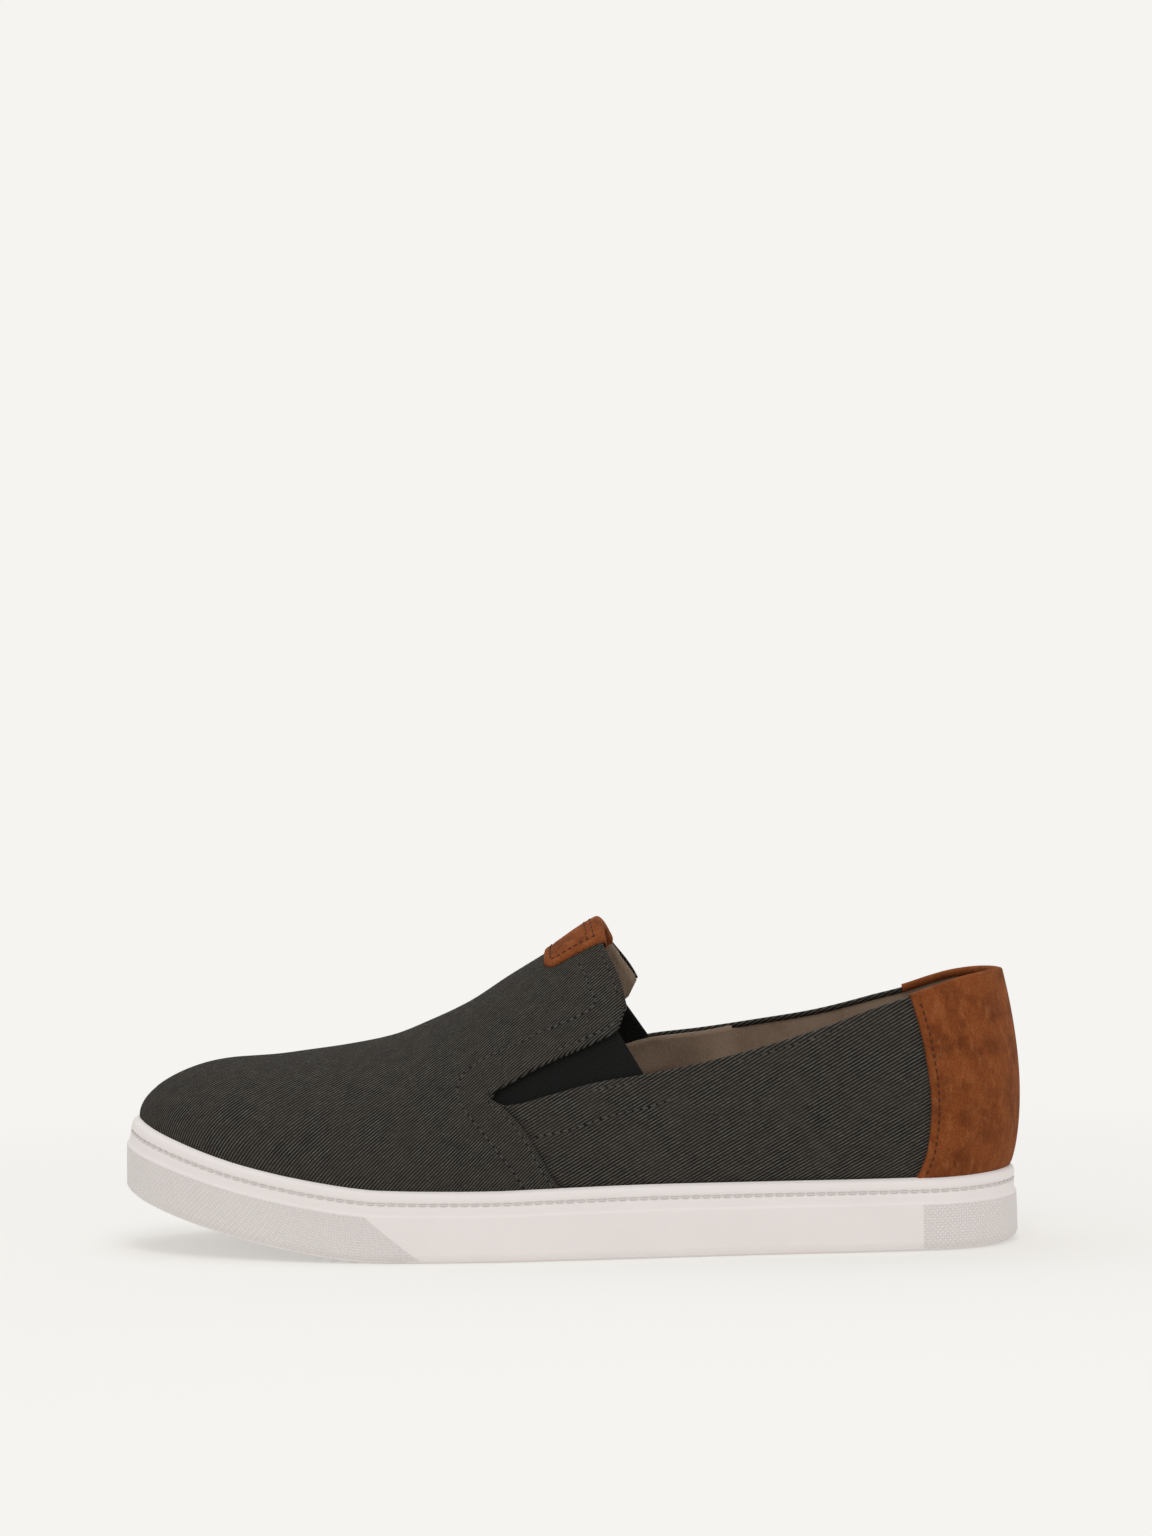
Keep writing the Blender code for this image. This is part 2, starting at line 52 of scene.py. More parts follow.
# The part's driving sizes
LENGTH = 0.2995
BALL_WIDTH = 0.108
SIDEWALL = 0.0243
TOE_SPRING = 0.0180
TOE_SPRING_FROM = 0.30
TOE_SPRING_POWER = 1.5
CUP_FLOOR = 0.0085
LIP = 0.0038
TOE_LIP = 0.0054
TOE_LIP_TO = 0.20
INSTEP_HEIGHT = 0.1082
COLLAR_HEIGHT = 0.0895
UPPER_WALL = 0.0016
SPINE_SHARE = 0.72
BULGE_REACH = 0.72
BULGE_POWER = 0.75
SEAM_SHARE = 0.4920
SLOT_ROUND = 0.0032
TONGUE_END_SHARE = 0.5515
TONGUE_FOOT_SHARE = {OUTER: 0.620, INNER: 0.682}

# The part's last is centred on its bounding box, which moves it by this much
CENTRING = Vector((-0.000745, -0.000072, 0.0))

# Plan of the sole: half width and swing of its centre to the inner side, as shares of half the ball width
OUTLINE_COLUMNS = ("share", "half_width", "centre")
OUTLINE = [
    (0.00, 0.000, 0.130), (0.01, 0.250, 0.128), (0.03, 0.435, 0.122), (0.06, 0.590, 0.115),
    (0.10, 0.730, 0.102), (0.15, 0.845, 0.085), (0.20, 0.920, 0.062), (0.27, 0.982, 0.025),
    (0.34, 1.000, 0.000), (0.42, 0.972, -0.025), (0.50, 0.900, -0.045), (0.58, 0.825, -0.055),
    (0.66, 0.760, -0.048), (0.74, 0.715, -0.030), (0.82, 0.690, -0.012), (0.88, 0.660, 0.000),
    (0.93, 0.595, 0.000), (0.97, 0.445, 0.000), (0.99, 0.265, 0.000), (1.00, 0.000, 0.000),
]

# Height of the sidewall along the length, as a share of its common height
SIDEWALL_COLUMNS = ("share", "height")
SIDEWALL_RUN = [
    (0.00, 1.060), (0.05, 1.035), (0.15, 0.990), (0.25, 0.980), (0.34, 0.950), (0.42, 0.940),
    (0.50, 0.960), (0.60, 0.980), (0.75, 0.975), (0.90, 0.980), (1.00, 1.030),
]

# Sections of the last: fullness of the plan, fullness of the height, bulge over the rim, forward lean of
# the columns in stations
SECTION_COLUMNS = ("share", "plan", "rise", "bulge", "lean")
SECTIONS = [
    (0.00, 2.00, 2.00, 0.000, 0.000),
    (0.15, 2.05, 2.00, 0.000, -0.006),
    (0.30, 2.15, 1.85, 0.010, -0.038),
    (0.40, 2.15, 1.68, 0.015, -0.064),
    (0.48, 2.18, 1.55, 0.020, -0.076),
    (0.55, 2.20, 1.50, 0.030, -0.066),
    (0.70, 2.60, 1.55, 0.040, -0.025),
    (0.85, 2.90, 1.60, 0.060, 0.000),
    (0.95, 3.80, 1.85, 0.090, 0.000),
    (1.00, 6.00, 2.10, 0.105, 0.000),
]

# Height of the crest, as a share of the instep height; behind the tongue it is only a guide
CREST_COLUMNS = ("share", "height")
CREST = [
    (0.000, 0.550), (0.090, 0.572), (0.168, 0.583), (0.213, 0.598), (0.258, 0.615),
    (0.304, 0.640), (0.349, 0.687), (0.394, 0.744), (0.439, 0.822), (0.485, 0.899),
    (0.531, 0.982), (0.569, 1.030), (0.650, 1.110), (0.800, 1.175), (1.000, 1.200),
]

# Top edge of the quarters from the slot to the heel, as a share of the collar height
COLLAR_COLUMNS = ("share", "height", "inner_rise")
COLLAR = [
    (0.419, 0.551, 0.020), (0.453, 0.562, 0.026), (0.487, 0.591, 0.037), (0.543, 0.636, 0.067),
    (0.592, 0.659, 0.093), (0.647, 0.692, 0.080), (0.714, 0.744, 0.059), (0.781, 0.809, 0.029),
    (0.845, 0.884, 0.006), (0.885, 0.924, 0.000), (0.914, 0.956, 0.000), (0.938, 0.978, 0.000),
    (0.972, 0.995, 0.000), (1.000, 1.000, 0.000),
]

# Lower edge of the tongue over the slot, as a share of the collar height
TONGUE_EDGE_COLUMNS = ("share", "height", "inner_rise")
TONGUE_EDGE = [
    (0.419, 0.595, 0.018), (0.435, 0.620, 0.022), (0.479, 0.696, 0.040), (0.539, 0.780, 0.065),
    (0.559, 0.815, 0.070), (0.567, 0.850, 0.055), (0.571, 0.900, 0.025), (0.577, 0.960, 0.015),
]

TOE_TUCK = 0.0018
TOE_TUCK_FROM = 0.66
END_ROUND = 0.60
END_ROUND_TO = 0.125

# Ends of the knurled panels: place at the ground and place at the panel's top. The slant of the toe panel's
# end dies out over this many stations.
PANEL_ENDS = {"toe": (0.352, 0.286), "heel": (0.893, 0.890)}
PANEL_TOP = 0.655
PANEL_SLANT_REACH = 0.16

# Front edge of the heel patch, from the rim up to the collar, as a share of the length
PATCH_COLUMNS = ("height", "share")
PATCH_EDGE = [
    (0.00, 0.884), (0.20, 0.893), (0.50, 0.898), (0.75, 0.897), (1.00, 0.893),
]
# Steps of station and height over which directions are taken, and how near to the tips they are taken
OUTLINE_STEP = 0.002
NORMAL_STEP = 0.004
TIP_MARGIN = 0.001
def share_at(s):
    return (1 - math.cos(math.pi * s)) / 2


def station(share):
    """Station of a share of the length; even stations crowd together at the toe and the heel."""
    return math.acos(1 - 2 * min(max(share, 0.0), 1.0)) / math.pi


def share_of(x):
    return x / LENGTH + 0.5


def smooth_curve(xs, ys):
    """A smooth function through the points that never overshoots them."""
    widths = [b - a for a, b in zip(xs, xs[1:])]
    rises = [(b - a) / w for a, b, w in zip(ys, ys[1:], widths)]
    slopes = [rises[0]]
    for left, right, w0, w1 in zip(rises, rises[1:], widths, widths[1:]):
        a, b = 2 * w1 + w0, w1 + 2 * w0
        slopes.append((a + b) / (a / left + b / right) if left * right > 0 else 0.0)
    slopes.append(rises[-1])

    def at(x):
        x = min(max(x, xs[0]), xs[-1])
        i = min(bisect_right(xs, x), len(widths)) - 1
        w = widths[i]
        t = (x - xs[i]) / w
        return (
            ys[i] * (1 + 2 * t) * (1 - t) ** 2
            + slopes[i] * w * t * (1 - t) ** 2
            + ys[i + 1] * t * t * (3 - 2 * t)
            + slopes[i + 1] * w * t * t * (t - 1)
        )

    return at


def column_curves(names, rows, along=float):
    """One smooth function for each named column of a table, over its first column."""
    xs = [along(row[0]) for row in rows]
    return {name: smooth_curve(xs, [row[k] for row in rows]) for k, name in enumerate(names) if k}


OUTLINE_AT = column_curves(OUTLINE_COLUMNS, OUTLINE, station)
SECTION_AT = column_curves(SECTION_COLUMNS, SECTIONS, station)
SIDEWALL_AT = column_curves(SIDEWALL_COLUMNS, SIDEWALL_RUN)
CREST_AT = column_curves(CREST_COLUMNS, CREST)
COLLAR_AT = column_curves(COLLAR_COLUMNS, COLLAR)
TONGUE_EDGE_AT = column_curves(TONGUE_EDGE_COLUMNS, TONGUE_EDGE)
PATCH_AT = column_curves(PATCH_COLUMNS, PATCH_EDGE)


def solve(reached, low=0.0, high=1.0, steps=20):
    """The value between low and high where reached(value) turns true."""
    for _ in range(steps):
        middle = (low + high) / 2
        if reached(middle):
            high = middle
        else:
            low = middle
    return (low + high) / 2


def raw_outline(side, s):
    half = OUTLINE_AT["half_width"](s) * BALL_WIDTH / 2
    centre = OUTLINE_AT["centre"](s) * BALL_WIDTH / 2
    return (share_at(s) - 0.5) * LENGTH, centre + side * half


def outline(side, s, inset=0.0):
    """Point of the sole's outline in plan, moved inwards by inset."""
    x, y = raw_outline(side, s)
    if s < OUTLINE_STEP:
        tangent = (0.0, float(side))
    elif s > 1 - OUTLINE_STEP:
        tangent = (0.0, -float(side))
    else:
        a, b = raw_outline(side, s - OUTLINE_STEP), raw_outline(side, s + OUTLINE_STEP)
        tangent = (b[0] - a[0], b[1] - a[1])
    length = math.hypot(*tangent)
    return x + side * tangent[1] / length * inset, y - side * tangent[0] / length * inset


def towards_middle(side, s, inset, part):
    """Point in plan from the inset outline (part 0) to the middle between both sides (part 1)."""
    here, there = outline(side, s, inset), outline(-side, s, inset)
    return tuple(a + (b - a) * part / 2 for a, b in zip(here, there))


def spine(s):
    """The point in plan, under the crest, towards which a station's section runs."""
    x = SPINE_SHARE * (share_at(s) - 0.5) * LENGTH
    return x, OUTLINE_AT["centre"](station(share_of(x))) * BALL_WIDTH / 2


def ground(x):
    """Height of the sole's underside over the floor."""
    lift = max(TOE_SPRING_FROM - share_of(x), 0.0) / TOE_SPRING_FROM
    return TOE_SPRING * lift**TOE_SPRING_POWER


def sole_height(x):
    """Height of the sidewall, more at the toe and the heel than at the ball of the foot."""
    return SIDEWALL * SIDEWALL_AT["height"](share_of(x))


def rim(side, s):
    """Height of the top of the lip at a station."""
    x = outline(side, s)[0]
    return ground(x) + sole_height(x)


def toe_part(s):
    """1 at the toe tip, falling softly to 0 where the lip has its common width."""
    t = max(1 - s / station(TOE_LIP_TO), 0.0)
    return t * t * (3 - 2 * t)


def lip_width(s):
    return LIP + (TOE_LIP - LIP) * toe_part(s)


def last(side, s, v):
    """A point of the last."""
    foot = outline(side, s, lip_width(s))
    base = rim(side, s)
    if v < 0:
        return foot[0], foot[1], base + v
    top = spine(s)
    angle = min(v, 1.0) * math.pi / 2
    reach = max(math.cos(angle), 0.0) ** (2 / SECTION_AT["plan"](s))
    lift = math.sin(angle) ** (2 / SECTION_AT["rise"](s))
    q = min(lift / BULGE_REACH, 1.0) ** BULGE_POWER
    reach *= 1 + SECTION_AT["bulge"](s) * 4 * q * (1 - q)
    x = top[0] + (foot[0] - top[0]) * reach
    y = top[1] + (foot[1] - top[1]) * reach
    crest = CREST_AT["height"](share_of(x)) * INSTEP_HEIGHT
    return x, y, base + (crest - base) * lift


def moved(side, s, v, offset):
    """A point of the last moved along its normal; positive is outwards."""
    if v < 0:
        x, y = outline(side, s, lip_width(s) - offset)
        return x, y, rim(side, s) + v
    step = NORMAL_STEP
    beside = min(max(s, TIP_MARGIN), 1 - TIP_MARGIN)
    before = last(-side, step - beside, v) if beside < step else last(side, beside - step, v)
    after = last(-side, 2 - step - beside, v) if beside > 1 - step else last(side, beside + step, v)
    under = last(side, beside, max(v - step, 0.0))
    over = last(-side, beside, 2 - step - v) if v > 1 - step else last(side, beside, v + step)
    a = [q - p for p, q in zip(before, after)]
    b = [q - p for p, q in zip(under, over)]
    normal = (a[1] * b[2] - a[2] * b[1], a[2] * b[0] - a[0] * b[2], a[0] * b[1] - a[1] * b[0])
    size = -side * math.sqrt(sum(c * c for c in normal))
    return tuple(p + offset * n / size for p, n in zip(last(side, s, v), normal))


def leaning(foot, top, v):
    """Station at height v of a column that starts at foot on the rim and ends at top on the crest."""
    v = min(max(v, 0.0), 1.0)
    return foot + (top - foot) * v * (2 - v)


def wall_column(s):
    return s, s + SECTION_AT["lean"](s)


def tongue_column(side, part):
    """Columns over the slot: part is 0 at the seam and 1 at the tongue's end."""
    foot, top = wall_column(station(SEAM_SHARE))
    return (
        foot + (station(TONGUE_FOOT_SHARE[side]) - foot) * part,
        top + (station(TONGUE_END_SHARE) - top) * part,
    )


def on_column(side, column, v, offset=0.0):
    s = leaning(*column, v)
    return moved(side, s, v, offset) if offset else last(side, s, v)


def slot_edges(side, share):
    """Heights of the quarter's edge and of the tongue's edge over it, where the slot is open."""
    return [
        (curves["height"](share) + (curves["inner_rise"](share) if side == INNER else 0.0)) * COLLAR_HEIGHT
        for curves in (COLLAR_AT, TONGUE_EDGE_AT)
    ]


def find_slot_tip(side):
    """Height v and share of the slot's round tip, which lies on the seam's column."""

    def reached(v):
        x, _, z = on_column(side, wall_column(SEAM), v)
        return z >= sum(slot_edges(side, share_of(x))) / 2

    v = solve(reached)
    return v, share_of(on_column(side, wall_column(SEAM), v)[0])


SEAM = station(SEAM_SHARE)
SLOT_TIP = {side: find_slot_tip(side) for side in (OUTER, INNER)}


def edge_height(side, share, over_slot):
    """Height of the tongue's edge (over the slot) or of the quarter's; they meet at the slot's round tip."""
    low, high = slot_edges(side, share)
    run = min(max((share - SLOT_TIP[side][1]) * LENGTH / SLOT_ROUND, 0.0), 1.0)
    middle = (low + high) / 2
    wanted = high if over_slot else low
    return middle + (wanted - middle) * math.sqrt(1 - (1 - run) ** 2)


# The seam runs steeper at the rim than its column, and the tongue's end is bowed: both in stations
SEAM_FOOT_BOW = 0.0060
SEAM_BOW = 0.052
SEAM_BOW_POWER = 2.6
SEAM_BOW_WIDTH = 0.045
END_BOW = 0.0074
END_BOW_RISE = (0.466, 0.512)
END_BOW_FALL = (0.560, 0.780)


def smooth(a, b, x):
    """0 below a, 1 above b, soft between."""
    t = min(max((x - a) / (b - a), 0.0), 1.0)
    return t * t * (3 - 2 * t)


def hump(x, width):
    return math.exp(-((x / width) ** 2))


def wall_station(side, column, v):
    """Station at height v of a wall column, which follows the seam's bow near the seam."""
    tip = SLOT_TIP[side][0]
    low = min(max(v / tip, 0.0), 1.0)
    bow = (SEAM_FOOT_BOW + SEAM_BOW * low * tip) * (1 - low**SEAM_BOW_POWER)
    return leaning(*column, v) + bow * hump(column[0] - SEAM, SEAM_BOW_WIDTH)


def tongue_station(side, part, v):
    """Station at height v of a column over the slot, which follows the bow of the tongue's end."""
    bow = END_BOW * part**3 * smooth(*END_BOW_RISE, v) * (1 - smooth(*END_BOW_FALL, v))
    return leaning(*tongue_column(side, part), v) + bow


def quarter_edge(side, column):
    """The height v where a wall column meets the quarter's edge."""

    def reached(v):
        x, _, z = last(side, wall_station(side, column, v), v)
        return z >= edge_height(side, share_of(x), over_slot=False)

    return solve(reached)


def tongue_edge(side, part):
    """The height v where a column over the slot meets the tongue's edge."""

    def reached(v):
        x, _, z = last(side, tongue_station(side, part, v), v)
        return z >= edge_height(side, share_of(x), over_slot=True)

    return solve(reached)


def seen_at(side, x, z):
    """Station and height of the point of the last that a side view shows at x, z."""
    s = station(share_of(x))
    for _ in range(7):
        v = solve(lambda height: last(side, s, height)[2] >= z)
        s = station(share_at(s) + (x - last(side, s, v)[0]) / LENGTH)
    return s, v


def spread(low, high, count):
    """count + 1 even values from low to high."""
    return [low + (high - low) * k / count for k in range(count + 1)]


def at(side, s, v, offset=0.0):
    """A point of the last in the row frame."""
    return Vector(moved(side, s, v, offset)) + CENTRING


def normal_at(side, s, v, reach=0.001):
    return (at(side, s, v, reach) - at(side, s, v, -reach)).normalized()


# Meshes


def add_object(name, data):
    thing = bpy.data.objects.new(name, data)
    bpy.context.scene.collection.objects.link(thing)
    return thing


def add_piece(name, mesh):
    """A piece of the shoe, which rides on its one body."""
    piece = add_object(name, mesh)
    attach(piece, "root")
    return piece


class Cloth:
    """A mesh of grids of (point, uv) pairs; points that coincide are shared."""

    def __init__(self):
        self.bm = bmesh.new()
        self.uv = self.bm.loops.layers.uv.new("cloth")
        self.seen = {}

    def vert(self, p):
        key = (round(p[0] * 5e6), round(p[1] * 5e6), round(p[2] * 5e6))
        if key not in self.seen:
            self.seen[key] = self.bm.verts.new(p)
        return self.seen[key]

    def grid(self, columns, side, slot=0):
        """Faces between neighbouring columns; a face shrinks or drops out where its points coincide."""
        for left, right in zip(columns, columns[1:]):
            for a, b, c, d in zip(left, right, right[1:], left[1:]):
                quad = (a, d, c, b) if side == INNER else (a, b, c, d)
                verts = [self.vert(p) for p, _ in quad]
                keep = [k for k in range(4) if verts[k] is not verts[k - 1]]
                corners = [verts[k] for k in keep]
                if len(keep) < 3 or len(set(corners)) < len(keep) or self.bm.faces.get(corners):
                    continue
                face = self.bm.faces.new(corners)
                face.smooth = True
                face.material_index = slot
                for loop, k in zip(face.loops, keep):
                    loop[self.uv].uv = quad[k][1]

    def make(self, name, materials, nodes=(), thickness=0.0, sharp=None):
        mesh = bpy.data.meshes.new(name)
        self.bm.to_mesh(mesh)
        self.bm.free()
        for material in materials:
            mesh.materials.append(material)
        if sharp:
            mesh.set_sharp_from_angle(angle=math.radians(sharp))
        piece = add_piece(name, mesh)
        if thickness:
            wall = piece.modifiers.new("wall", "SOLIDIFY")
            wall.thickness = thickness
            wall.offset = -1.0
            wall.use_even_offset = False
        if nodes:
            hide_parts(*nodes)


# The upper's cloth, rolled flat: arc lengths down the last's columns, along its crest and along its rim

ROLL_S = 80
ROLL_V = 60
CREST_STEPS = 200
RIM_STEPS = 400


def run_along(points):
    """Arc length from the first point to each of them."""
    run = [0.0]
    for a, b in zip(points, points[1:]):
        run.append(run[-1] + (b - a).length)
    return run


def roll_out(side):
    """Arc length from the crest down to each height, for even stations."""
    columns = [[Vector(last(side, i / ROLL_S, j / ROLL_V)) for j in range(ROLL_V, -1, -1)]
               for i in range(ROLL_S + 1)]
    return [run_along(column)[::-1] for column in columns]


def crest_point(t):
    """Point of the crest at share t of its length."""
    x = SPINE_SHARE * (t - 0.5) * LENGTH
    return Vector((x, 0.0, CREST_AT["height"](share_of(x)) * INSTEP_HEIGHT))


def rim_run(side):
    return run_along([Vector(outline(side, k / RIM_STEPS, LIP)) for k in range(RIM_STEPS + 1)])


ROLLED = {side: roll_out(side) for side in BOTH}
CREST_RUN = run_along([crest_point(k / CREST_STEPS) for k in range(CREST_STEPS + 1)])
RIM_RUN = {side: rim_run(side) for side in BOTH}


def read(run, t):
    """Value of an evenly spaced list at share t."""
    x = min(max(t, 0.0), 1.0) * (len(run) - 1)
    k = min(int(x), len(run) - 2)
    return run[k] + (run[k + 1] - run[k]) * (x - k)


def under_crest(side, s, v):
    """Arc length from the crest down to v; more than the whole column below the rim."""
    x = min(max(s, 0.0), 1.0) * ROLL_S
    k = min(int(x), ROLL_S - 1)
    low, high = (read(ROLLED[side][i], max(v, 0.0)) for i in (k, k + 1))
    return low + (high - low) * (x - k) - min(v, 0.0)


def vamp_uv(side, s, v):
    foot, top = outline(side, s, lip_width(s)), spine(s)
    dx, dy = foot[0] - top[0], foot[1] - top[1]
    size = math.hypot(dx, dy) or 1.0
    down = under_crest(side, s, v)
    return read(CREST_RUN, share_at(s)) + dx / size * down, dy / size * down


def wall_uv(side, s, v):
    up = under_crest(side, s, 0.0) - under_crest(side, s, v)
    return read(RIM_RUN[side], s), up


def place(side, s, v, offset, uv):
    return at(side, s, v, offset), uv(side, s, v)


# A turned edge: distances of its fine rows, how far its lip rolls and drops, the rise of the doubled cloth
# and where it ends, and the trough at the stitches; all in metres
HEM_STEPS = [k * 1e-3 for k in (0.0, 0.25, 0.55, 0.9, 1.4, 2.0, 2.6, 3.2, 4.0, 5.0)]
HEM_ROLL = 0.0007
HEM_DROP = 0.0006
HEM_RISE = 0.00030
HEM_END = (0.0035, 0.0060)
STITCH_INSET = 0.0023
STITCH_TROUGH = 0.00022
STITCH_TROUGH_WIDTH = 0.0006
FAR = 1.0


def edge_rows(edge, scale, inwards, count, end):
    """Heights from an edge inwards, and distances from it: fine rows over the hem, then even ones to end."""
    rows = [(edge + inwards * e / scale, e) for e in HEM_STEPS]
    start = rows[-1][0]
    return rows + [(start + (end - start) * k / count, FAR) for k in range(1, count + 1)]


def hem(e):
    """Offset of a turned edge at distance e from it: a rolled lip, and a soft trough at the stitches."""
    dip = 0.0
    if e < HEM_ROLL:
        dip = -HEM_DROP * (1 - math.sqrt(max(1 - (1 - e / HEM_ROLL) ** 2, 0.0)))
    rise = HEM_RISE * (1 - smooth(*HEM_END, e))
    return dip + rise - STITCH_TROUGH * hump(e - STITCH_INSET, STITCH_TROUGH_WIDTH)


def climb(side, s, v, reach=0.02):
    """Metres of surface for each unit of v, near v."""
    low, high = max(v - reach, 0.0), min(v + reach, 1.0)
    return (Vector(last(side, s, high)) - Vector(last(side, s, low))).length / (high - low)


def along(s):
    """Metres of surface for each unit of station, near s."""
    return math.pi / 2 * LENGTH * math.sin(math.pi * s)


# Offsets from the last, thicknesses and depths, in metres
VAMP_OVER = 0.00055
CANVAS = 0.0006
LINING = 0.0003
LINING_INSIDE = 0.0011
FOLD_INSIDE = 0.0018
FOLD_DEPTH = 0.0015
FOLD_BULGE = 0.0002
SEAM_TROUGH = 0.00055
SEAM_TROUGH_AT = 0.0004
SEAM_TROUGH_WIDTH = 0.0016
SEAM_TROUGH_FADE = (0.78, 0.95)


def seam_gap(side, s, v):
    """Distance along the surface in front of the seam, in metres."""
    seam = wall_station(side, wall_column(SEAM), v)
    return max(seam - s, 0.0) * along(seam)


# Soft troughs and ridges worked into the canvas by lasting and wear: where they lie on the side view (as
# shares of the length and of the collar height), their lean in degrees, half length and half width in
# metres, depth in metres and which side they lie on
CREASE_COLUMNS = ("share", "height", "lean", "half_length", "half_width", "depth", "side")
CREASES = [
    (0.335, 0.50, 62, 0.016, 0.0050, -0.00045, OUTER),
    (0.372, 0.42, 58, 0.014, 0.0045, 0.00035, OUTER),
    (0.300, 0.62, 48, 0.018, 0.0060, -0.00040, OUTER),
    (0.620, 0.46, 8, 0.030, 0.0060, -0.00040, OUTER),
    (0.700, 0.55, 12, 0.026, 0.0070, 0.00035, OUTER),
    (0.790, 0.45, 80, 0.018, 0.0060, -0.00030, OUTER),
    (0.345, 0.52, 60, 0.016, 0.0050, -0.00045, INNER),
    (0.640, 0.48, 8, 0.030, 0.0060, -0.00040, INNER),
    (0.780, 0.50, 75, 0.018, 0.0060, -0.00030, INNER),
]


def crease(side, x, z):
    total = 0.0
    for row in CREASES:
        c = dict(zip(CREASE_COLUMNS, row))
        if c["side"] != side:
            continue
        dx = x - (c["share"] - 0.5) * LENGTH
        dz = z - c["height"] * COLLAR_HEIGHT
        lean = math.radians(c["lean"])
        lengthwise = dx * math.cos(lean) + dz * math.sin(lean)
        across = -dx * math.sin(lean) + dz * math.cos(lean)
        total += c["depth"] * hump(lengthwise, c["half_length"]) * hump(across, c["half_width"])
    return total


CREASES_FADE = (0.70, 0.96)
WAVES = 28
WAVE_DEPTH = 0.00022


def softness(side, s, v):
    """Offset of the cloth by its creases and slow waves."""
    x, y, z = last(side, s, v)
    wave = noise.noise(Vector((x * WAVES, y * WAVES, z * WAVES + 7.0)))
    return crease(side, x, z) * (1 - smooth(*CREASES_FADE, v)) + WAVE_DEPTH * wave


# Pieces of the upper. Rows of points crowd together at edges and at the seam: stations in front of the seam
# and behind it, and places over the slot from the seam (0) to the tongue's end (1)
BELOW_RIM = [-0.0025, -0.001]
VAMP_STATIONS = spread(0.0, SEAM - 0.020, 92)
VAMP_STATIONS += [SEAM - d for d in (0.016, 0.012, 0.009, 0.0065, 0.0045, 0.0028, 0.0015, 0.0006, 0.0)]
QUARTER_STATIONS = [SEAM + d for d in (-0.012, -0.006, -0.001, 0.0, 0.001, 0.0022, 0.004, 0.0065, 0.010,
                                       0.014, 0.019)] + spread(SEAM + 0.025, 1.0, 96)
TONGUE_PARTS = [0.0, 0.004, 0.010, 0.02, 0.035, 0.055, 0.08] + spread(0.11, 0.90, 40)
TONGUE_PARTS += [0.925, 0.945, 0.96, 0.972, 0.981, 0.988, 0.993, 0.997, 1.0]
TONGUE_RUN = 0.052
LINING_STATIONS = [SEAM + d for d in (0.0, 0.003, 0.008, 0.014)] + spread(SEAM + 0.022, 1.0, 60)
LINING_PARTS = [0.0, 0.02, 0.05, 0.09] + spread(0.13, 0.997, 22)
LINING_FOOT = [-0.012, -0.006]


def fold(edge, scale, inwards):
    """Heights and offsets of the rows that turn the cloth over its edge to the inner face, from the inside."""
    return [
        (edge + inwards * FOLD_DEPTH / scale, -FOLD_INSIDE),
        (edge + inwards * FOLD_BULGE / 2 / scale, -FOLD_INSIDE),
        (edge - inwards * FOLD_BULGE / scale, -FOLD_INSIDE / 2),
    ]


def make_vamp(material):
    cloth = Cloth()
    for side in BOTH:
        tip = SLOT_TIP[side][0]
        columns = []
        for s in VAMP_STATIONS:
            line = []
            for v in BELOW_RIM + spread(0.0, tip, 40) + spread(tip, 1.0, 34)[1:]:
                here = wall_station(side, wall_column(s), v)
                lift = VAMP_OVER + (softness(side, here, v) if v > 0 else 0.0)
                if v <= tip:
                    lift += hem(seam_gap(side, here, v)) - 0.0001
                line.append(place(side, here, v, lift, vamp_uv))
            columns.append(line)
        cloth.grid(columns, side)
        columns = []
        for part in TONGUE_PARTS:
            edge = tongue_edge(side, part) if part else tip
            scale = climb(side, tongue_station(side, part, edge), edge + 0.1)
            turned = [place(side, tongue_station(side, part, v), v, offset, vamp_uv)
                      for v, offset in fold(edge, scale, 1)]
            line = []
            for v, e in edge_rows(edge, scale, 1, 26, 1.0):
                here = tongue_station(side, part, v)
                lift = VAMP_OVER + softness(side, here, v) + hem(min(e, (1 - part) * TONGUE_RUN))
                line.append(place(side, here, v, lift, vamp_uv))
            columns.append((turned if part else line[:1] * len(turned)) + line)
        cloth.grid(columns, side)
    cloth.make("vamp", [material], thickness=CANVAS)


def make_quarters(material):
    cloth = Cloth()
    for side in BOTH:
        tip = SLOT_TIP[side][0]
        columns = []
        for s in QUARTER_STATIONS:
            column = wall_column(s)
            edge = quarter_edge(side, column) if s > SEAM else tip - 0.004
            scale = climb(side, wall_station(side, column, edge), edge - 0.05)
            line = []
            for v, e in reversed(edge_rows(edge, scale, -1, 34, 0.0) + [(v, FAR) for v in BELOW_RIM[::-1]]):
                here = wall_station(side, column, v)
                lift = (softness(side, here, v) if v > 0 else 0.0) + (hem(e) if s > SEAM else -0.0002)
                behind = (here - wall_station(side, wall_column(SEAM), v)) * along(here)
                trough = SEAM_TROUGH * hump(behind - SEAM_TROUGH_AT, SEAM_TROUGH_WIDTH)
                lift -= trough * (1 - smooth(*(tip * part for part in SEAM_TROUGH_FADE), v))
                line.append(place(side, here, v, lift, wall_uv))
            turned = [place(side, wall_station(side, column, v), v, offset, wall_uv)
                      for v, offset in reversed(fold(edge, scale, -1))]
            columns.append(line + (turned if s > SEAM else line[-1:] * len(turned)))
        cloth.grid(columns, side)
    cloth.make("quarters", [material], nodes=("upper",), thickness=CANVAS)


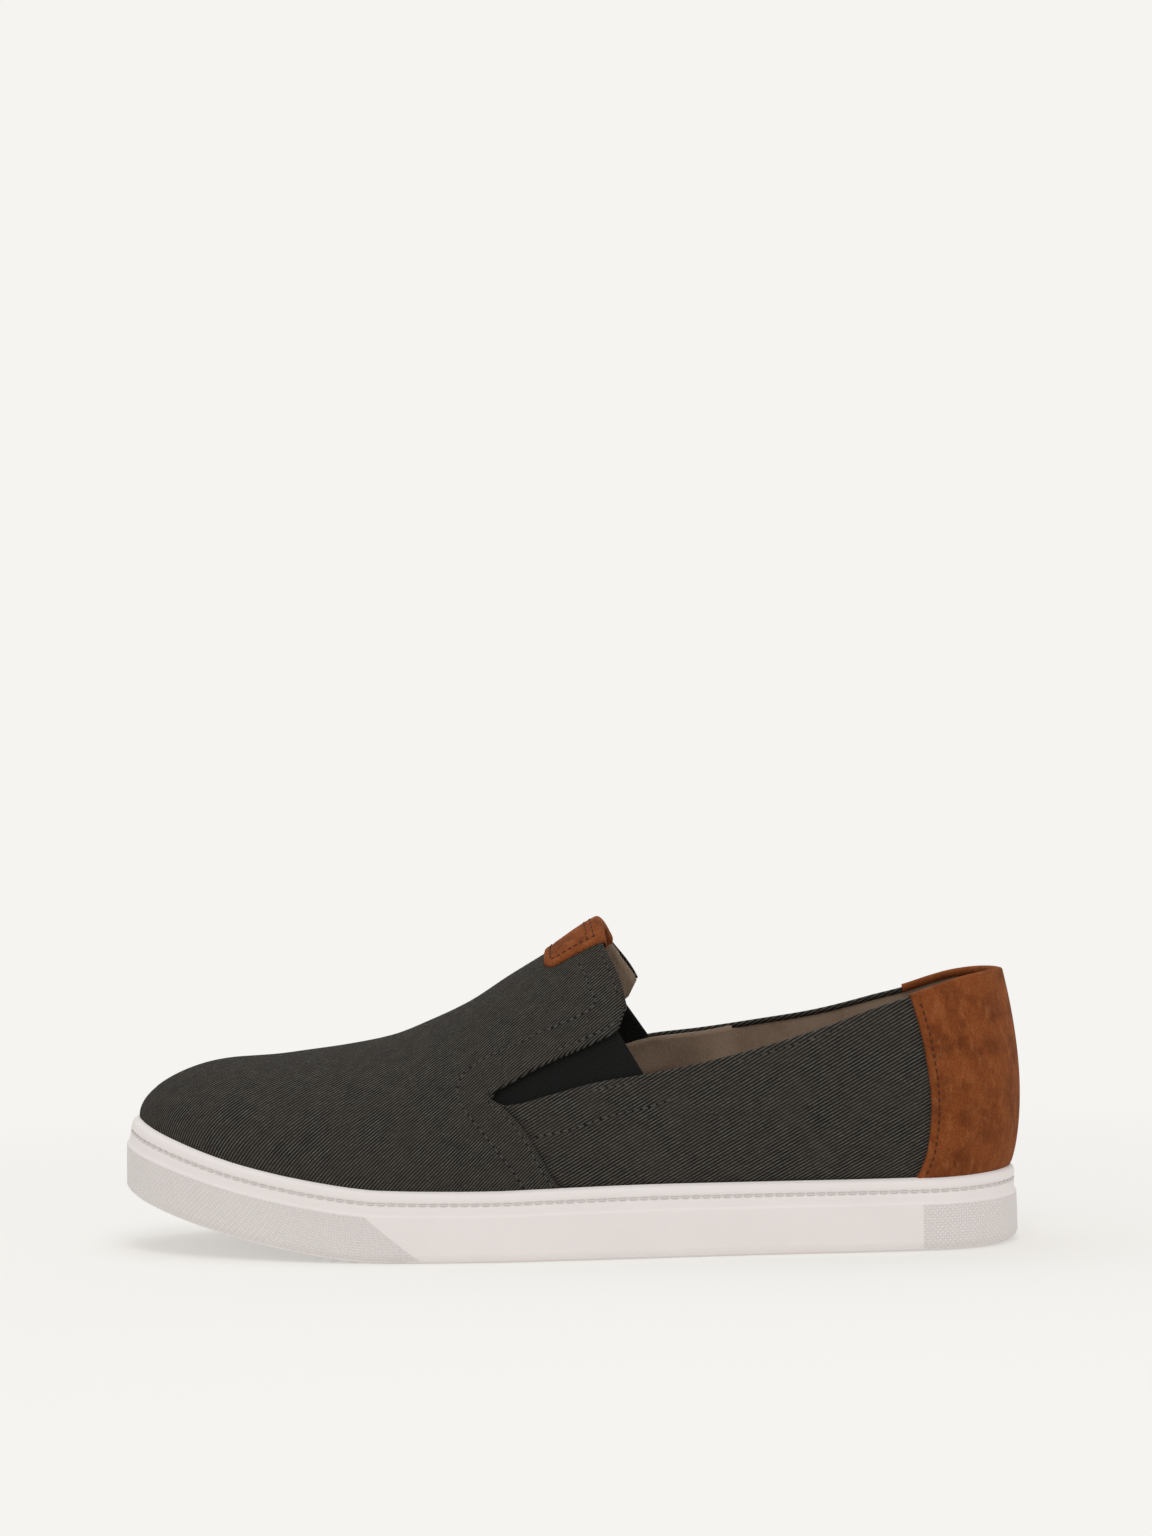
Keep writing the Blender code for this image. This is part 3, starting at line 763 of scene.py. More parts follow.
# The elastic gores: shares of the length of their front edge and of their rear edge, low and high; how far
# their hems reach behind the slot's edges; their length; and where the lining over their hems ends
GORE_FRONT_SHARE = 0.407
GORE_REAR_SHARES = (0.602, 0.553)
GORE_HEM = 0.0060
GORE_RUN = 0.055
GORE_THICKNESS = 0.0011
GORE_GAP = 0.00035
GORE_COVER = UPPER_WALL + GORE_THICKNESS + GORE_GAP + 0.0003 - LINING_INSIDE
GORE_COVER_FADE = (0.09, 0.14)
GORE_COVER_END = (0.620, 0.645)
LINING_BAND = 0.16


def make_lining(material):
    """The inner face of the upper, under the turned edges of the canvas and over the hems of the gores."""
    cloth = Cloth()
    for side in BOTH:
        tip = SLOT_TIP[side][0]
        vamp, tongue, quarter = [], [], []
        for s in spread(0.0, SEAM, 50):
            rows = LINING_FOOT + spread(0.0, tip, 18) + spread(tip, 1.0, 16)[1:]
            vamp.append([place(side, wall_station(side, wall_column(s), v), v, -LINING_INSIDE, wall_uv)
                         for v in rows])
        for part in LINING_PARTS:
            edge = tongue_edge(side, part) + 0.004 if part else tip
            line = []
            for v in spread(edge, edge + LINING_BAND, 12) + spread(edge + LINING_BAND, 1.0, 10)[1:]:
                under = GORE_COVER * smooth(0.0, 0.06, part) * (1 - smooth(*GORE_COVER_FADE, v - edge))
                line.append(place(side, tongue_station(side, part, v), v, -LINING_INSIDE - under, wall_uv))
            tongue.append(line)
        for s in LINING_STATIONS:
            edge = quarter_edge(side, wall_column(s)) - 0.003 if s > SEAM else tip
            line = []
            for v in (LINING_FOOT + spread(0.0, edge - LINING_BAND, 10)[:-1]
                      + spread(edge - LINING_BAND, edge, 12)):
                under = smooth(SEAM, SEAM + 0.02, s) * (1 - smooth(*GORE_COVER_END, s))
                under *= GORE_COVER * (1 - smooth(*GORE_COVER_FADE, edge - v)) if v > 0 else 0.0
                here = wall_station(side, wall_column(s), v)
                line.append(place(side, here, v, -LINING_INSIDE - under, wall_uv))
            quarter.append(line)
        for columns in (vamp, tongue, quarter):
            cloth.grid(columns, side)
    cloth.make("lining", [material], thickness=LINING)


def make_gore(name, side, material):
    cloth = Cloth()
    columns = []
    for part in spread(0.0, 1.0, 36):
        shares = [GORE_FRONT_SHARE + (rear - GORE_FRONT_SHARE) * part for rear in GORE_REAR_SHARES]
        low = edge_height(side, shares[0], over_slot=False) - GORE_HEM
        high = edge_height(side, shares[1], over_slot=True) + GORE_HEM
        column = []
        for t in spread(0.0, 1.0, 20):
            share = shares[0] + (shares[1] - shares[0]) * t
            s, v = seen_at(side, (share - 0.5) * LENGTH, low + (high - low) * t)
            column.append((at(side, s, v, -UPPER_WALL - GORE_GAP), (part * GORE_RUN, t * (high - low))))
        columns.append(column)
    cloth.grid(columns, side)
    cloth.make(name, [material], nodes=(name,), thickness=GORE_THICKNESS)


# The suede: thickness, rise over the cloth, the round of its cut edge and the dent of its stitches, fine rows
# at the patch's front edge, and the rows that turn it over the collar: rise over the edge and offset
SUEDE = 0.0006
PATCH_LIFT = 0.0013
SUEDE_ROUND = 0.0007
SUEDE_DENT = 0.00018
PATCH_STEPS = (0.0, 0.0003, 0.0007, 0.0012, 0.0018, 0.0025, 0.0032, 0.0042)
PATCH_COUNT = 34
SUEDE_FOLD = ((0.0005, 0.0008), (0.0010, -0.0002), (0.0010, -0.0014), (0.0005, -0.0022), (-0.0014, -0.0022))


def suede_edge(e, lift):
    """Height of a cut suede edge at distance e from it."""
    if e >= SUEDE_ROUND:
        return lift - SUEDE_DENT * hump(e - 0.0026, 0.0007)
    return lift * math.sqrt(max(1 - (1 - e / SUEDE_ROUND) ** 2, 0.0)) - 0.0002 * (1 - e / SUEDE_ROUND)


def collar_edge(side, s):
    """Height v of the collar at a station of the heel."""

    def reached(v):
        x, _, z = last(side, s, v)
        return z >= edge_height(side, share_of(x), over_slot=False)

    return solve(reached)


def make_heel_patch(material):
    cloth = Cloth()
    for side in BOTH:
        columns = []
        for k in range(len(PATCH_STEPS) + PATCH_COUNT):
            column = []
            for height in spread(0.0, 1.0, 51):
                front = station(PATCH_AT["share"](height))
                if k < len(PATCH_STEPS):
                    s, e = front + PATCH_STEPS[k] / along(front), PATCH_STEPS[k]
                else:
                    start = front + PATCH_STEPS[-1] / along(front)
                    s, e = start + (1 - start) * (k - len(PATCH_STEPS) + 1) / PATCH_COUNT, FAR
                v = collar_edge(side, s) * height
                lift = PATCH_LIFT + softness(side, s, v)
                column.append(place(side, s, v, suede_edge(e, lift), wall_uv))
            scale = climb(side, s, v)
            for rise, offset in SUEDE_FOLD:
                column.append(place(side, s, v + rise / scale, offset, wall_uv))
            columns.append(column)
        cloth.grid(columns, side)
    cloth.make("heel_patch", [material], nodes=("heel_patch",), thickness=SUEDE)


# The tab: its length from the tongue's end, its corners, the way that it turns back under the tongue, and
# the distances of its fine rows from its edges
TAB_LENGTH = 0.0168
TAB_CORNER = 0.0042
TAB_HALF_WIDTH = 0.0172
TAB_UNDER = -UPPER_WALL - 0.0010
TAB_RETURN = (0.0, 0.001, 0.0025, 0.0045, 0.0060)
TAB_NOSE = 0.55
TAB_STEPS = (0.0, 0.0002, 0.0005, 0.0009, 0.0014, 0.0020, 0.0027, 0.0036, 0.005)
TAB_INNER = 0.0065
FINE_STEPS = 22


def tongue_part(back):
    """The place on the tongue, from the seam (0) to its end (1), that lies back metres in front of its end."""

    def crest_x(part):
        return on_column(OUTER, tongue_column(OUTER, part), 1.0)[0]

    x = crest_x(1.0) - back
    return solve(lambda part: crest_x(part) >= x, steps=FINE_STEPS)


def beside_crest(side, line, across):
    """The height v of the point of a tongue column that lies across metres beside the crest."""
    if not across:
        return 1.0
    middle = spine(line[1])[1]
    return solve(lambda v: abs(on_column(side, line, v)[1] - middle) <= across, steps=FINE_STEPS)


def tab_lines():
    """Rows across the tab: for each, its place, its length and its points' places along the tongue."""
    rows = []
    for across in [TAB_HALF_WIDTH - e for e in TAB_STEPS] + spread(TAB_HALF_WIDTH - TAB_INNER, 0.0, 5):
        outer = max(across - TAB_HALF_WIDTH + TAB_CORNER, 0.0) / TAB_CORNER
        length = TAB_LENGTH - TAB_CORNER * (1 - math.sqrt(1 - outer * outer))
        backs = [length - e for e in TAB_STEPS] + spread(length - TAB_INNER, 0.0, 8)
        rows.append((across, length, [(back, tongue_part(back)) for back in backs]))
    return rows


def tab_gap(across, back, length):
    """Distance of a point of the tab from its nearest edge, round the corners too."""
    aside, ahead = across - TAB_HALF_WIDTH + TAB_CORNER, back - TAB_LENGTH + TAB_CORNER
    if aside > 0 and ahead > 0:
        return max(TAB_CORNER - math.hypot(aside, ahead), 0.0)
    return max(min(TAB_HALF_WIDTH - across, length - back), 0.0)


def make_tab(material):
    cloth = Cloth()
    lines = tab_lines()
    for side in BOTH:
        columns = []
        for across, length, places in lines:
            row = []
            for back, part in places:
                line = tongue_column(side, part)
                v = beside_crest(side, line, across)
                lift = VAMP_OVER + 0.0001 + suede_edge(tab_gap(across, back, length), 0.0012)
                row.append((at(side, leaning(*line, v), v, lift), (back, across * side)))
            top = row[-1][0]
            low = at(side, leaning(*line, v), v, TAB_UNDER)
            inner_line = tongue_column(side, places[-3][1])
            inner = at(side, leaning(*inner_line, v), v, TAB_UNDER)
            back_dir = (low - inner).normalized()
            centre, radius = (top + low) / 2, (top - low) / 2
            for k in range(1, 10):
                angle = math.pi * k / 10
                nose = back_dir * radius.length * TAB_NOSE * math.sin(angle)
                row.append((centre + radius * math.cos(angle) + nose, (-0.0003 * k, across * side)))
            for d in TAB_RETURN:
                row.append((low - back_dir * d, (-0.004 - d, across * side)))
            columns.append(row)
        cloth.grid(list(zip(*columns)), side)
    cloth.make("tongue_tab", [material], nodes=("tongue_tab",), thickness=SUEDE)


# The sole's side, from the ground up to the lip: share of the sidewall's height, and inset in lip widths

SOLE_PROFILE = [
    (0.000, 0.860), (0.012, 0.560), (0.035, 0.340), (0.075, 0.160), (0.125, 0.080), (0.142, 0.080),
    (0.160, 0.085), (0.400, 0.100), (0.620, 0.130), (0.638, 0.130), (0.652, 0.150), (0.664, 0.210),
    (0.680, 0.300), (0.740, 0.315), (0.786, 0.325), (0.794, 0.380), (0.802, 0.410), (0.818, 0.430),
    (0.834, 0.410), (0.842, 0.340), (0.850, 0.290), (0.890, 0.280), (0.930, 0.310), (0.955, 0.380),
    (0.975, 0.500), (0.990, 0.660), (1.000, 0.840),
]


# Rows of the profile between which the panels are knurled, the places of the groove's stitches, and places
# from the middle of the underside to its edge
PANEL_ROWS = (2, 9)
GROOVE_HEIGHT = 0.818
GROOVE_INSET = 0.37
UNDER_PARTS = (0.0, 0.25, 0.5, 0.75, 0.9, 1.0)
CUP_PARTS = (0.0, 0.5, 1.0)
RIM_DROP = 0.0006
STATION_GAP = 0.0012


def side_inset(s, height, inset):
    toe = toe_part(s)
    heel = max(1 - (1 - s) / station(TOE_LIP_TO), 0.0)
    inset *= LIP
    if height < END_ROUND_TO:
        inset *= 1 + END_ROUND * max(toe, heel)
    return inset + toe * TOE_TUCK * max(height - TOE_TUCK_FROM, 0.0) / (1 - TOE_TUCK_FROM)


def panel_lean(s, height):
    low, high = (station(share) for share in PANEL_ENDS["toe"])
    near = max(1 - abs(s - high) / PANEL_SLANT_REACH, 0.0)
    return s + (low - high) * near * near * (3 - 2 * near) * max(1 - height / PANEL_TOP, 0.0)


def sole_side(side, s, height, inset):
    """A point of the sole's side in the row frame."""
    where = panel_lean(s, height)
    x, y = outline(side, where, side_inset(s, height, inset))
    base = outline(side, where)[0]
    return Vector((x, y, ground(base) + sole_height(base) * height)) + CENTRING


def make_outsole(rubber, knurl, tread):
    cloth = Cloth()
    first, last_row = PANEL_ROWS
    toe_end, heel_end = station(PANEL_ENDS["toe"][1]), station(PANEL_ENDS["heel"][1])
    stations = spread(0.0, 1.0, 176)
    for edge in (toe_end, heel_end):
        stations = [s for s in stations if abs(s - edge) > STATION_GAP] + [edge]
    stations.sort()
    for side in BOTH:
        plain, under, cup = [], [], []
        for s in stations:
            run = read(RIM_RUN[side], s)
            plain.append([(sole_side(side, s, height, inset), (run, height * SIDEWALL))
                          for height, inset in SOLE_PROFILE])
            lip = plain[-1][-1][0]
            edge = outline(side, s, lip_width(s) - VAMP_OVER)
            top = Vector((*edge, rim(side, s) - RIM_DROP)) + CENTRING
            rows = [(lip + (top - lip) * t, (run, 0.0)) for t in CUP_PARTS]
            for t in CUP_PARTS:
                x, y = towards_middle(side, s, lip_width(s), t)
                rows.append((Vector((x, y, ground(x) + CUP_FLOOR)) + CENTRING, (x, y)))
            cup.append(rows)
            here, there = sole_side(side, s, *SOLE_PROFILE[0]), sole_side(-side, s, *SOLE_PROFILE[0])
            middle = (here + there) / 2
            points = [middle + (here - middle) * t for t in UNDER_PARTS]
            under.append([(p, tuple(p[:2])) for p in points])
        for low, high in ((0, first), (last_row, len(SOLE_PROFILE) - 1)):
            cloth.grid([c[low:high + 1] for c in plain], side)
        for left, right, s0, s1 in zip(plain, plain[1:], stations, stations[1:]):
            in_panel = s1 <= toe_end + 1e-6 or s0 >= heel_end - 1e-6
            pair = [left[first:last_row + 1], right[first:last_row + 1]]
            cloth.grid(pair, side, slot=int(in_panel))
        cloth.grid(cup, side)
        cloth.grid(under, side, slot=2)
    cloth.make("outsole", [rubber, knurl, tread], nodes=("outsole",), sharp=50)


# The insole: thickness, gap under it, and its profile as places from its edge (0) to the middle (1) with
# shares of the thickness
INSOLE_THICKNESS = 0.0050
INSOLE_GAP = 0.0003
INSOLE_PROFILE = ((0.0, 0.0), (0.0, 0.7), (0.015, 0.92), (0.05, 1.0), (0.15, 0.97), (0.35, 0.90),
                  (0.6, 0.86), (0.8, 0.85), (1.0, 0.85))


def make_insole(material):
    cloth = Cloth()
    for side in BOTH:
        columns = []
        for s in spread(0.0, 1.0, 80):
            inset = lip_width(s) + LINING_INSIDE + LINING + 0.0002
            column = []
            for t, z in INSOLE_PROFILE:
                x, y = towards_middle(side, s, inset, t)
                height = ground(x) + CUP_FLOOR + INSOLE_GAP + INSOLE_THICKNESS * z
                column.append((Vector((x, y, height)) + CENTRING, (x, y)))
            columns.append(column)
        cloth.grid(columns, side)
    cloth.make("insole", [material], nodes=("insole",))


# Stitches: short capsules laid end to end along a line on the shoe

BEAD_ROUNDS = 3
BEAD_SIDES = 6
BEAD_FLATNESS = 0.8


def bead(bm, centre, along, up, length, radius):
    """One stitch: a stretched ball, flattened a little against the cloth."""
    along = along.normalized()
    up = (up - along * up.dot(along)).normalized()
    across = along.cross(up)
    rings = []
    for k in range(BEAD_ROUNDS + 2):
        a = -math.pi / 2 + math.pi * k / (BEAD_ROUNDS + 1)
        middle, r = centre + along * (math.sin(a) * length / 2), math.cos(a) * radius
        if k in (0, BEAD_ROUNDS + 1):
            rings.append([bm.verts.new(middle)])
            continue
        turns = [2 * math.pi * j / BEAD_SIDES for j in range(BEAD_SIDES)]
        rings.append([bm.verts.new(middle + across * (math.cos(b) * r) + up * (math.sin(b) * r * BEAD_FLATNESS))
                      for b in turns])
    for low, high in zip(rings, rings[1:]):
        for j in range(BEAD_SIDES):
            corners = [ring[(j + i) % len(ring)] for ring, i in ((low, 0), (low, 1), (high, 1), (high, 0))]
            bm.faces.new(list(dict.fromkeys(corners))).smooth = True


def walk(line, pitch, start):
    """Evenly spaced (point, direction, normal) along a line of (point, normal) pairs."""
    out, run, target = [], 0.0, start
    for (a, na), (b, nb) in zip(line, line[1:]):
        step = (b - a).length
        while step > 0 and target <= run + step:
            t = (target - run) / step
            out.append((a + (b - a) * t, b - a, na + (nb - na) * t))
            target += pitch
        run += step
    return out


def stitch(name, lines, material, pitch, share, radius, sink=0.0, start=0.5):
    """Stitches, or with start=0 near-black beads of painted shade at the pinholes between them, as one piece.
    """
    bm = bmesh.new()
    for line in lines:
        for point, along, up in walk(line, pitch, pitch * start):
            bead(bm, point - up.normalized() * sink, along, up, pitch * share, radius)
    bmesh.ops.recalc_face_normals(bm, faces=bm.faces)
    mesh = bpy.data.meshes.new(name)
    bm.to_mesh(mesh)
    bm.free()
    mesh.materials.append(material)
    add_piece(name, mesh)


def on_wall(side, s, v, lift):
    return at(side, s, v, lift), normal_at(side, s, v)


def seen_line(side, points, lift, count):
    """A smooth line over points given as (share, height) of the side view."""
    fx, fz = (smooth_curve(range(len(points)), [p[i] for p in points]) for i in (0, 1))
    line = []
    for t in spread(0.0, float(len(points) - 1), count):
        s, v = seen_at(side, (fx(t) - 0.5) * LENGTH, fz(t) * COLLAR_HEIGHT)
        line.append(on_wall(side, s, v, lift))
    return line


# Lines of stitches on the side view, from the outer side: share of the length, share of the collar height
GORE_STITCHES = [
    (0.459, 0.267), (0.448, 0.326), (0.433, 0.391), (0.417, 0.458), (0.403, 0.514), (0.390, 0.577),
    (0.388, 0.611), (0.392, 0.650), (0.400, 0.680), (0.418, 0.718), (0.438, 0.750), (0.458, 0.777),
    (0.475, 0.806), (0.491, 0.826), (0.503, 0.843), (0.518, 0.864), (0.538, 0.913), (0.532, 0.963),
    (0.525, 1.019), (0.519, 1.054),
]
ROW_STITCHES = [(0.474, 0.446), (0.509, 0.467), (0.555, 0.516), (0.587, 0.536), (0.617, 0.565)]
# On the inner side the gore's stitches lie higher
GORE_STITCHES_RISE = {OUTER: 1.0, INNER: 1.06}
SEAM_STITCH_INSET = 0.0022
PATCH_STITCH_INSET = 0.0026
TAB_STITCH_INSET = 0.0024


def canvas_lines():
    """Stitch lines of the canvas, on both sides of the shoe."""
    lines = []
    for side in BOTH:
        seam, collar, tongue, end = [], [], [], []
        for v in spread(0.01, SLOT_TIP[side][0], 60):
            s = wall_station(side, wall_column(SEAM), v)
            seam.append(on_wall(side, s - SEAM_STITCH_INSET / along(s), v, VAMP_OVER))
        for s in spread(SEAM + 0.012, 0.793, 110):
            column = wall_column(s)
            edge = quarter_edge(side, column)
            v = edge - STITCH_INSET / climb(side, wall_station(side, column, edge), edge - 0.05)
            collar.append(on_wall(side, wall_station(side, column, v), v, 0.0))
        for part in spread(0.03, 0.955, 60):
            edge = tongue_edge(side, part)
            v = edge + STITCH_INSET / climb(side, tongue_station(side, part, edge), edge + 0.1)
            tongue.append(on_wall(side, tongue_station(side, part, v), v, VAMP_OVER))
        for v in spread(tongue_edge(side, 1.0) + 0.045, 0.80, 40):
            s = tongue_station(side, 1.0, v)
            end.append(on_wall(side, s - STITCH_INSET / along(s), v, VAMP_OVER))
        gore = [(share, height * GORE_STITCHES_RISE[side]) for share, height in GORE_STITCHES]
        lines += [seam, collar, tongue, end, seen_line(side, gore, VAMP_OVER, 90),
                  seen_line(side, ROW_STITCHES, 0.0, 40)]
    return lines


def patch_lines():
    lines = []
    for side in BOTH:
        line = []
        for height in spread(0.03, 0.97, 70):
            s = station(PATCH_AT["share"](height))
            s += PATCH_STITCH_INSET / along(s)
            line.append(on_wall(side, s, collar_edge(side, s) * height, PATCH_LIFT))
        lines.append(line)
    return lines


def tab_spot(across, back):
    """A point on the tab, across metres beside the crest and back metres in front of the tongue's end."""
    side = INNER if across > 0 else OUTER
    line = tongue_column(side, tongue_part(back))
    v = beside_crest(side, line, abs(across))
    return on_wall(side, leaning(*line, v), v, VAMP_OVER + 0.0013)


def tab_stitches():
    """The row round the tab, and the two rows that cross it where it folds over the tongue's end."""
    half, length, corner = (size - TAB_STITCH_INSET for size in (TAB_HALF_WIDTH, TAB_LENGTH, TAB_CORNER))
    way_round = [(half - corner * (1 - math.cos(a)), length - corner + corner * math.sin(a))
                 for a in spread(math.pi / 2, 0.1, 5)]
    path = [(-half, back) for back in spread(0.001, length - corner, 14)]
    path += [(-x, back) for x, back in reversed(way_round)]
    path += [(x, length) for x in spread(-half + corner + 0.001, half - corner - 0.001, 14)]
    path += way_round + [(half, back) for back in spread(length - corner, 0.001, 14)]
    lines = [[tab_spot(*p) for p in path]]
    for back in (0.0018, 0.0036):
        lines.append([tab_spot(x, back) for x in spread(-half, half, 16)])
    return lines


def sole_lines():
    """Stitches lie in the groove round the lip."""
    lines = []
    for side in BOTH:
        line = []
        for s in spread(0.0, 1.0, 400):
            p, q = (sole_side(side, s, GROOVE_HEIGHT, inset) for inset in (GROOVE_INSET, 0.0))
            line.append((p, q - p))
        lines.append(line)
    return lines


# Materials

# The wave texture repeats after this much of its vector's Y at a scale of 1
WAVE_PERIOD = 0.314159


class Shader:
    """A Principled material with a few short ways to wire its nodes."""

    def __init__(self, name):
        self.material = bpy.data.materials.new(name)
        self.material.use_nodes = True
        self.tree = self.material.node_tree
        self.main = self.tree.nodes["Principled BSDF"]

    def put(self, node, key, value):
        """Links a socket, or sets its value."""
        if isinstance(value, bpy.types.NodeSocket):
            self.tree.links.new(value, node.inputs[key])
        else:
            node.inputs[key].default_value = value

    def fill(self, node, values):
        for key, value in values.items():
            self.put(node, key.replace("_", " "), value)

    def node(self, kind, props=None, **values):
        node = self.tree.nodes.new(kind)
        for key, value in (props or {}).items():
            setattr(node, key, value)
        self.fill(node, values)
        return node

    def coords(self, kind):
        if kind == "UV":
            return self.node("ShaderNodeUVMap", {"uv_map": "cloth"}).outputs["UV"]
        return self.node("ShaderNodeTexCoord").outputs[kind]

    def turned(self, vector, degrees, scale=(1.0, 1.0, 1.0)):
        node = self.node("ShaderNodeMapping", Vector=vector, Rotation=(0.0, 0.0, math.radians(degrees)),
                         Scale=scale)
        return node.outputs["Vector"]

    def bands(self, vector, pitch, distortion=0.0, detail=0.0, detail_scale=1.0):
        """Stripes along the vector's Y, with one stripe each pitch, from 0 to 1."""
        props = {"wave_type": "BANDS", "bands_direction": "Y", "wave_profile": "SIN"}
        node = self.node("ShaderNodeTexWave", props, Vector=vector, Scale=WAVE_PERIOD / pitch,
                         Distortion=distortion, Detail=detail, Detail_Scale=detail_scale)
        return node.outputs["Fac"]

    def cloud(self, vector, size, detail=3.0, roughness=0.55):
        node = self.node("ShaderNodeTexNoise", Vector=vector, Scale=1 / size, Detail=detail,
                         Roughness=roughness)
        return node.outputs["Fac"]

    def math(self, op, a, b, clamp=False):
        node = self.node("ShaderNodeMath", {"operation": op, "use_clamp": clamp})
        self.put(node, 0, a)
        self.put(node, 1, b)
        return node.outputs[0]

    def between(self, fac, low, high, to=(0.0, 1.0)):
        """Brings fac from the range low to high softly into another range."""
        node = self.node("ShaderNodeMapRange", {"interpolation_type": "SMOOTHSTEP"}, Value=fac,
                         From_Min=low, From_Max=high, To_Min=to[0], To_Max=to[1])
        return node.outputs[0]

    def blend(self, fac, a, b, mode="MIX"):
        node = self.node("ShaderNodeMix", {"data_type": "RGBA", "blend_type": mode})
        for index, value in ((0, fac), (6, a), (7, b)):
            self.put(node, index, (*value, 1.0) if isinstance(value, tuple) else value)
        return node.outputs[2]

    def bump(self, height, distance, strength, under=None):
        node = self.node("ShaderNodeBump", Strength=strength, Distance=distance, Height=height)
        if under is not None:
            self.put(node, "Normal", under)
        return node.outputs["Normal"]

    def finish(self, colour, roughness, normal=None, **values):
        if isinstance(colour, tuple):
            colour = (*colour, 1.0)
        if normal is not None:
            values["Normal"] = normal
        self.fill(self.main, {"Base Color": colour, "Roughness": roughness, **values})
        return self.material


def twill(name, degrees, pitch=0.00098):
    """Charcoal twill: light slanted ribs, dark grooves, broken by streaks along the yarn and slubs."""
    sh = Shader(name)
    uv = sh.coords("UV")
    obj = sh.coords("Object")
    ribs = sh.bands(sh.turned(uv, -degrees), pitch, distortion=0.45, detail=2.0, detail_scale=1.6)
    slub = sh.cloud(sh.turned(uv, -degrees, (0.30, 1.0, 1.0)), 0.0011, 4.0, 0.62)
    heather = sh.cloud(sh.turned(uv, -degrees, (0.35, 1.0, 1.0)), 0.00040, 3.0, 0.7)
    fibre = sh.between(heather, 0.30, 0.70, (0.50, 1.0))
    rib = sh.math("MULTIPLY", sh.between(ribs, 0.16, 0.70), fibre)
    rib = sh.math("MULTIPLY", rib, sh.between(slub, 0.30, 0.68, (0.62, 1.10)), clamp=True)
    base = sh.blend(rib, (0.0060, 0.0055, 0.0048), (0.138, 0.128, 0.112))
    faded = sh.between(sh.cloud(obj, 0.011), 0.35, 0.75, (0.0, 0.35))
    base = sh.blend(faded, base, (0.058, 0.046, 0.040))
    worn = sh.between(sh.cloud(uv, 0.0060, 2.0), 0.3, 0.7, (0.0, 0.28))
    base = sh.blend(worn, base, (0.5, 0.5, 0.5), "MULTIPLY")
    return sh.finish(base, 0.95, sh.bump(rib, 0.00028, 0.9), Specular_IOR_Level=0.08)


def suede(name):
    """Tan-brown suede: a mottled nap with darker and lighter brush marks."""
    sh = Shader(name)
    obj = sh.coords("Object")
    big = sh.cloud(obj, 0.0085, 3.5, 0.60)
    marks = sh.cloud(sh.turned(obj, 0.0, (1.0, 1.0, 0.45)), 0.0030, 5.0, 0.66)
    nap = sh.cloud(obj, 0.00042, 4.0, 0.75)
    deep = (0.150, 0.038, 0.011)
    base = sh.blend(sh.between(big, 0.26, 0.62), deep, (0.270, 0.074, 0.021))
    base = sh.blend(sh.between(marks, 0.46, 0.78, (0.0, 0.70)), base, (0.400, 0.140, 0.050))
    base = sh.blend(sh.between(nap, 0.34, 0.60, (0.62, 0.0)), base, tuple(c * 0.55 for c in deep))
    grain = sh.math("ADD", sh.math("MULTIPLY", nap, 0.6), sh.math("MULTIPLY", marks, 0.7))
    return sh.finish(base, 0.95, sh.bump(grain, 0.00040, 0.75), Specular_IOR_Level=0.10,
                     Sheen_Weight=0.08, Sheen_Roughness=0.45, Sheen_Tint=(0.85, 0.45, 0.22, 1.0))


def lining_suede(name):
    """Beige napped lining and footbed."""
    sh = Shader(name)
    obj = sh.coords("Object")
    big = sh.cloud(obj, 0.012, 3.0)
    nap = sh.cloud(obj, 0.0007, 4.0, 0.7)
    base = sh.blend(sh.between(big, 0.3, 0.7), (0.260, 0.178, 0.122), (0.350, 0.256, 0.186))
    base = sh.blend(sh.between(nap, 0.3, 0.7, (0.0, 0.35)), base, (0.46, 0.36, 0.28))
    return sh.finish(base, 0.95, sh.bump(nap, 0.0003, 0.6), Specular_IOR_Level=0.1, Sheen_Weight=0.2)


def elastic(name):
    """Black-green elastic with fine ribs along the gore."""
    sh = Shader(name)
    uv = sh.coords("UV")
    ribs = sh.bands(uv, 0.00062, distortion=0.15, detail=1.0)
    cross = sh.bands(sh.turned(uv, 90), 0.00034, distortion=0.3, detail=1.0)
    weave = sh.math("MULTIPLY", sh.between(ribs, 0.1, 0.9), sh.between(cross, 0.0, 1.0, (0.72, 1.0)))
    base = sh.blend(weave, (0.0018, 0.0021, 0.0018), (0.0120, 0.0140, 0.0122))
    return sh.finish(base, 0.85, sh.bump(weave, 0.00022, 0.8), Specular_IOR_Level=0.2)


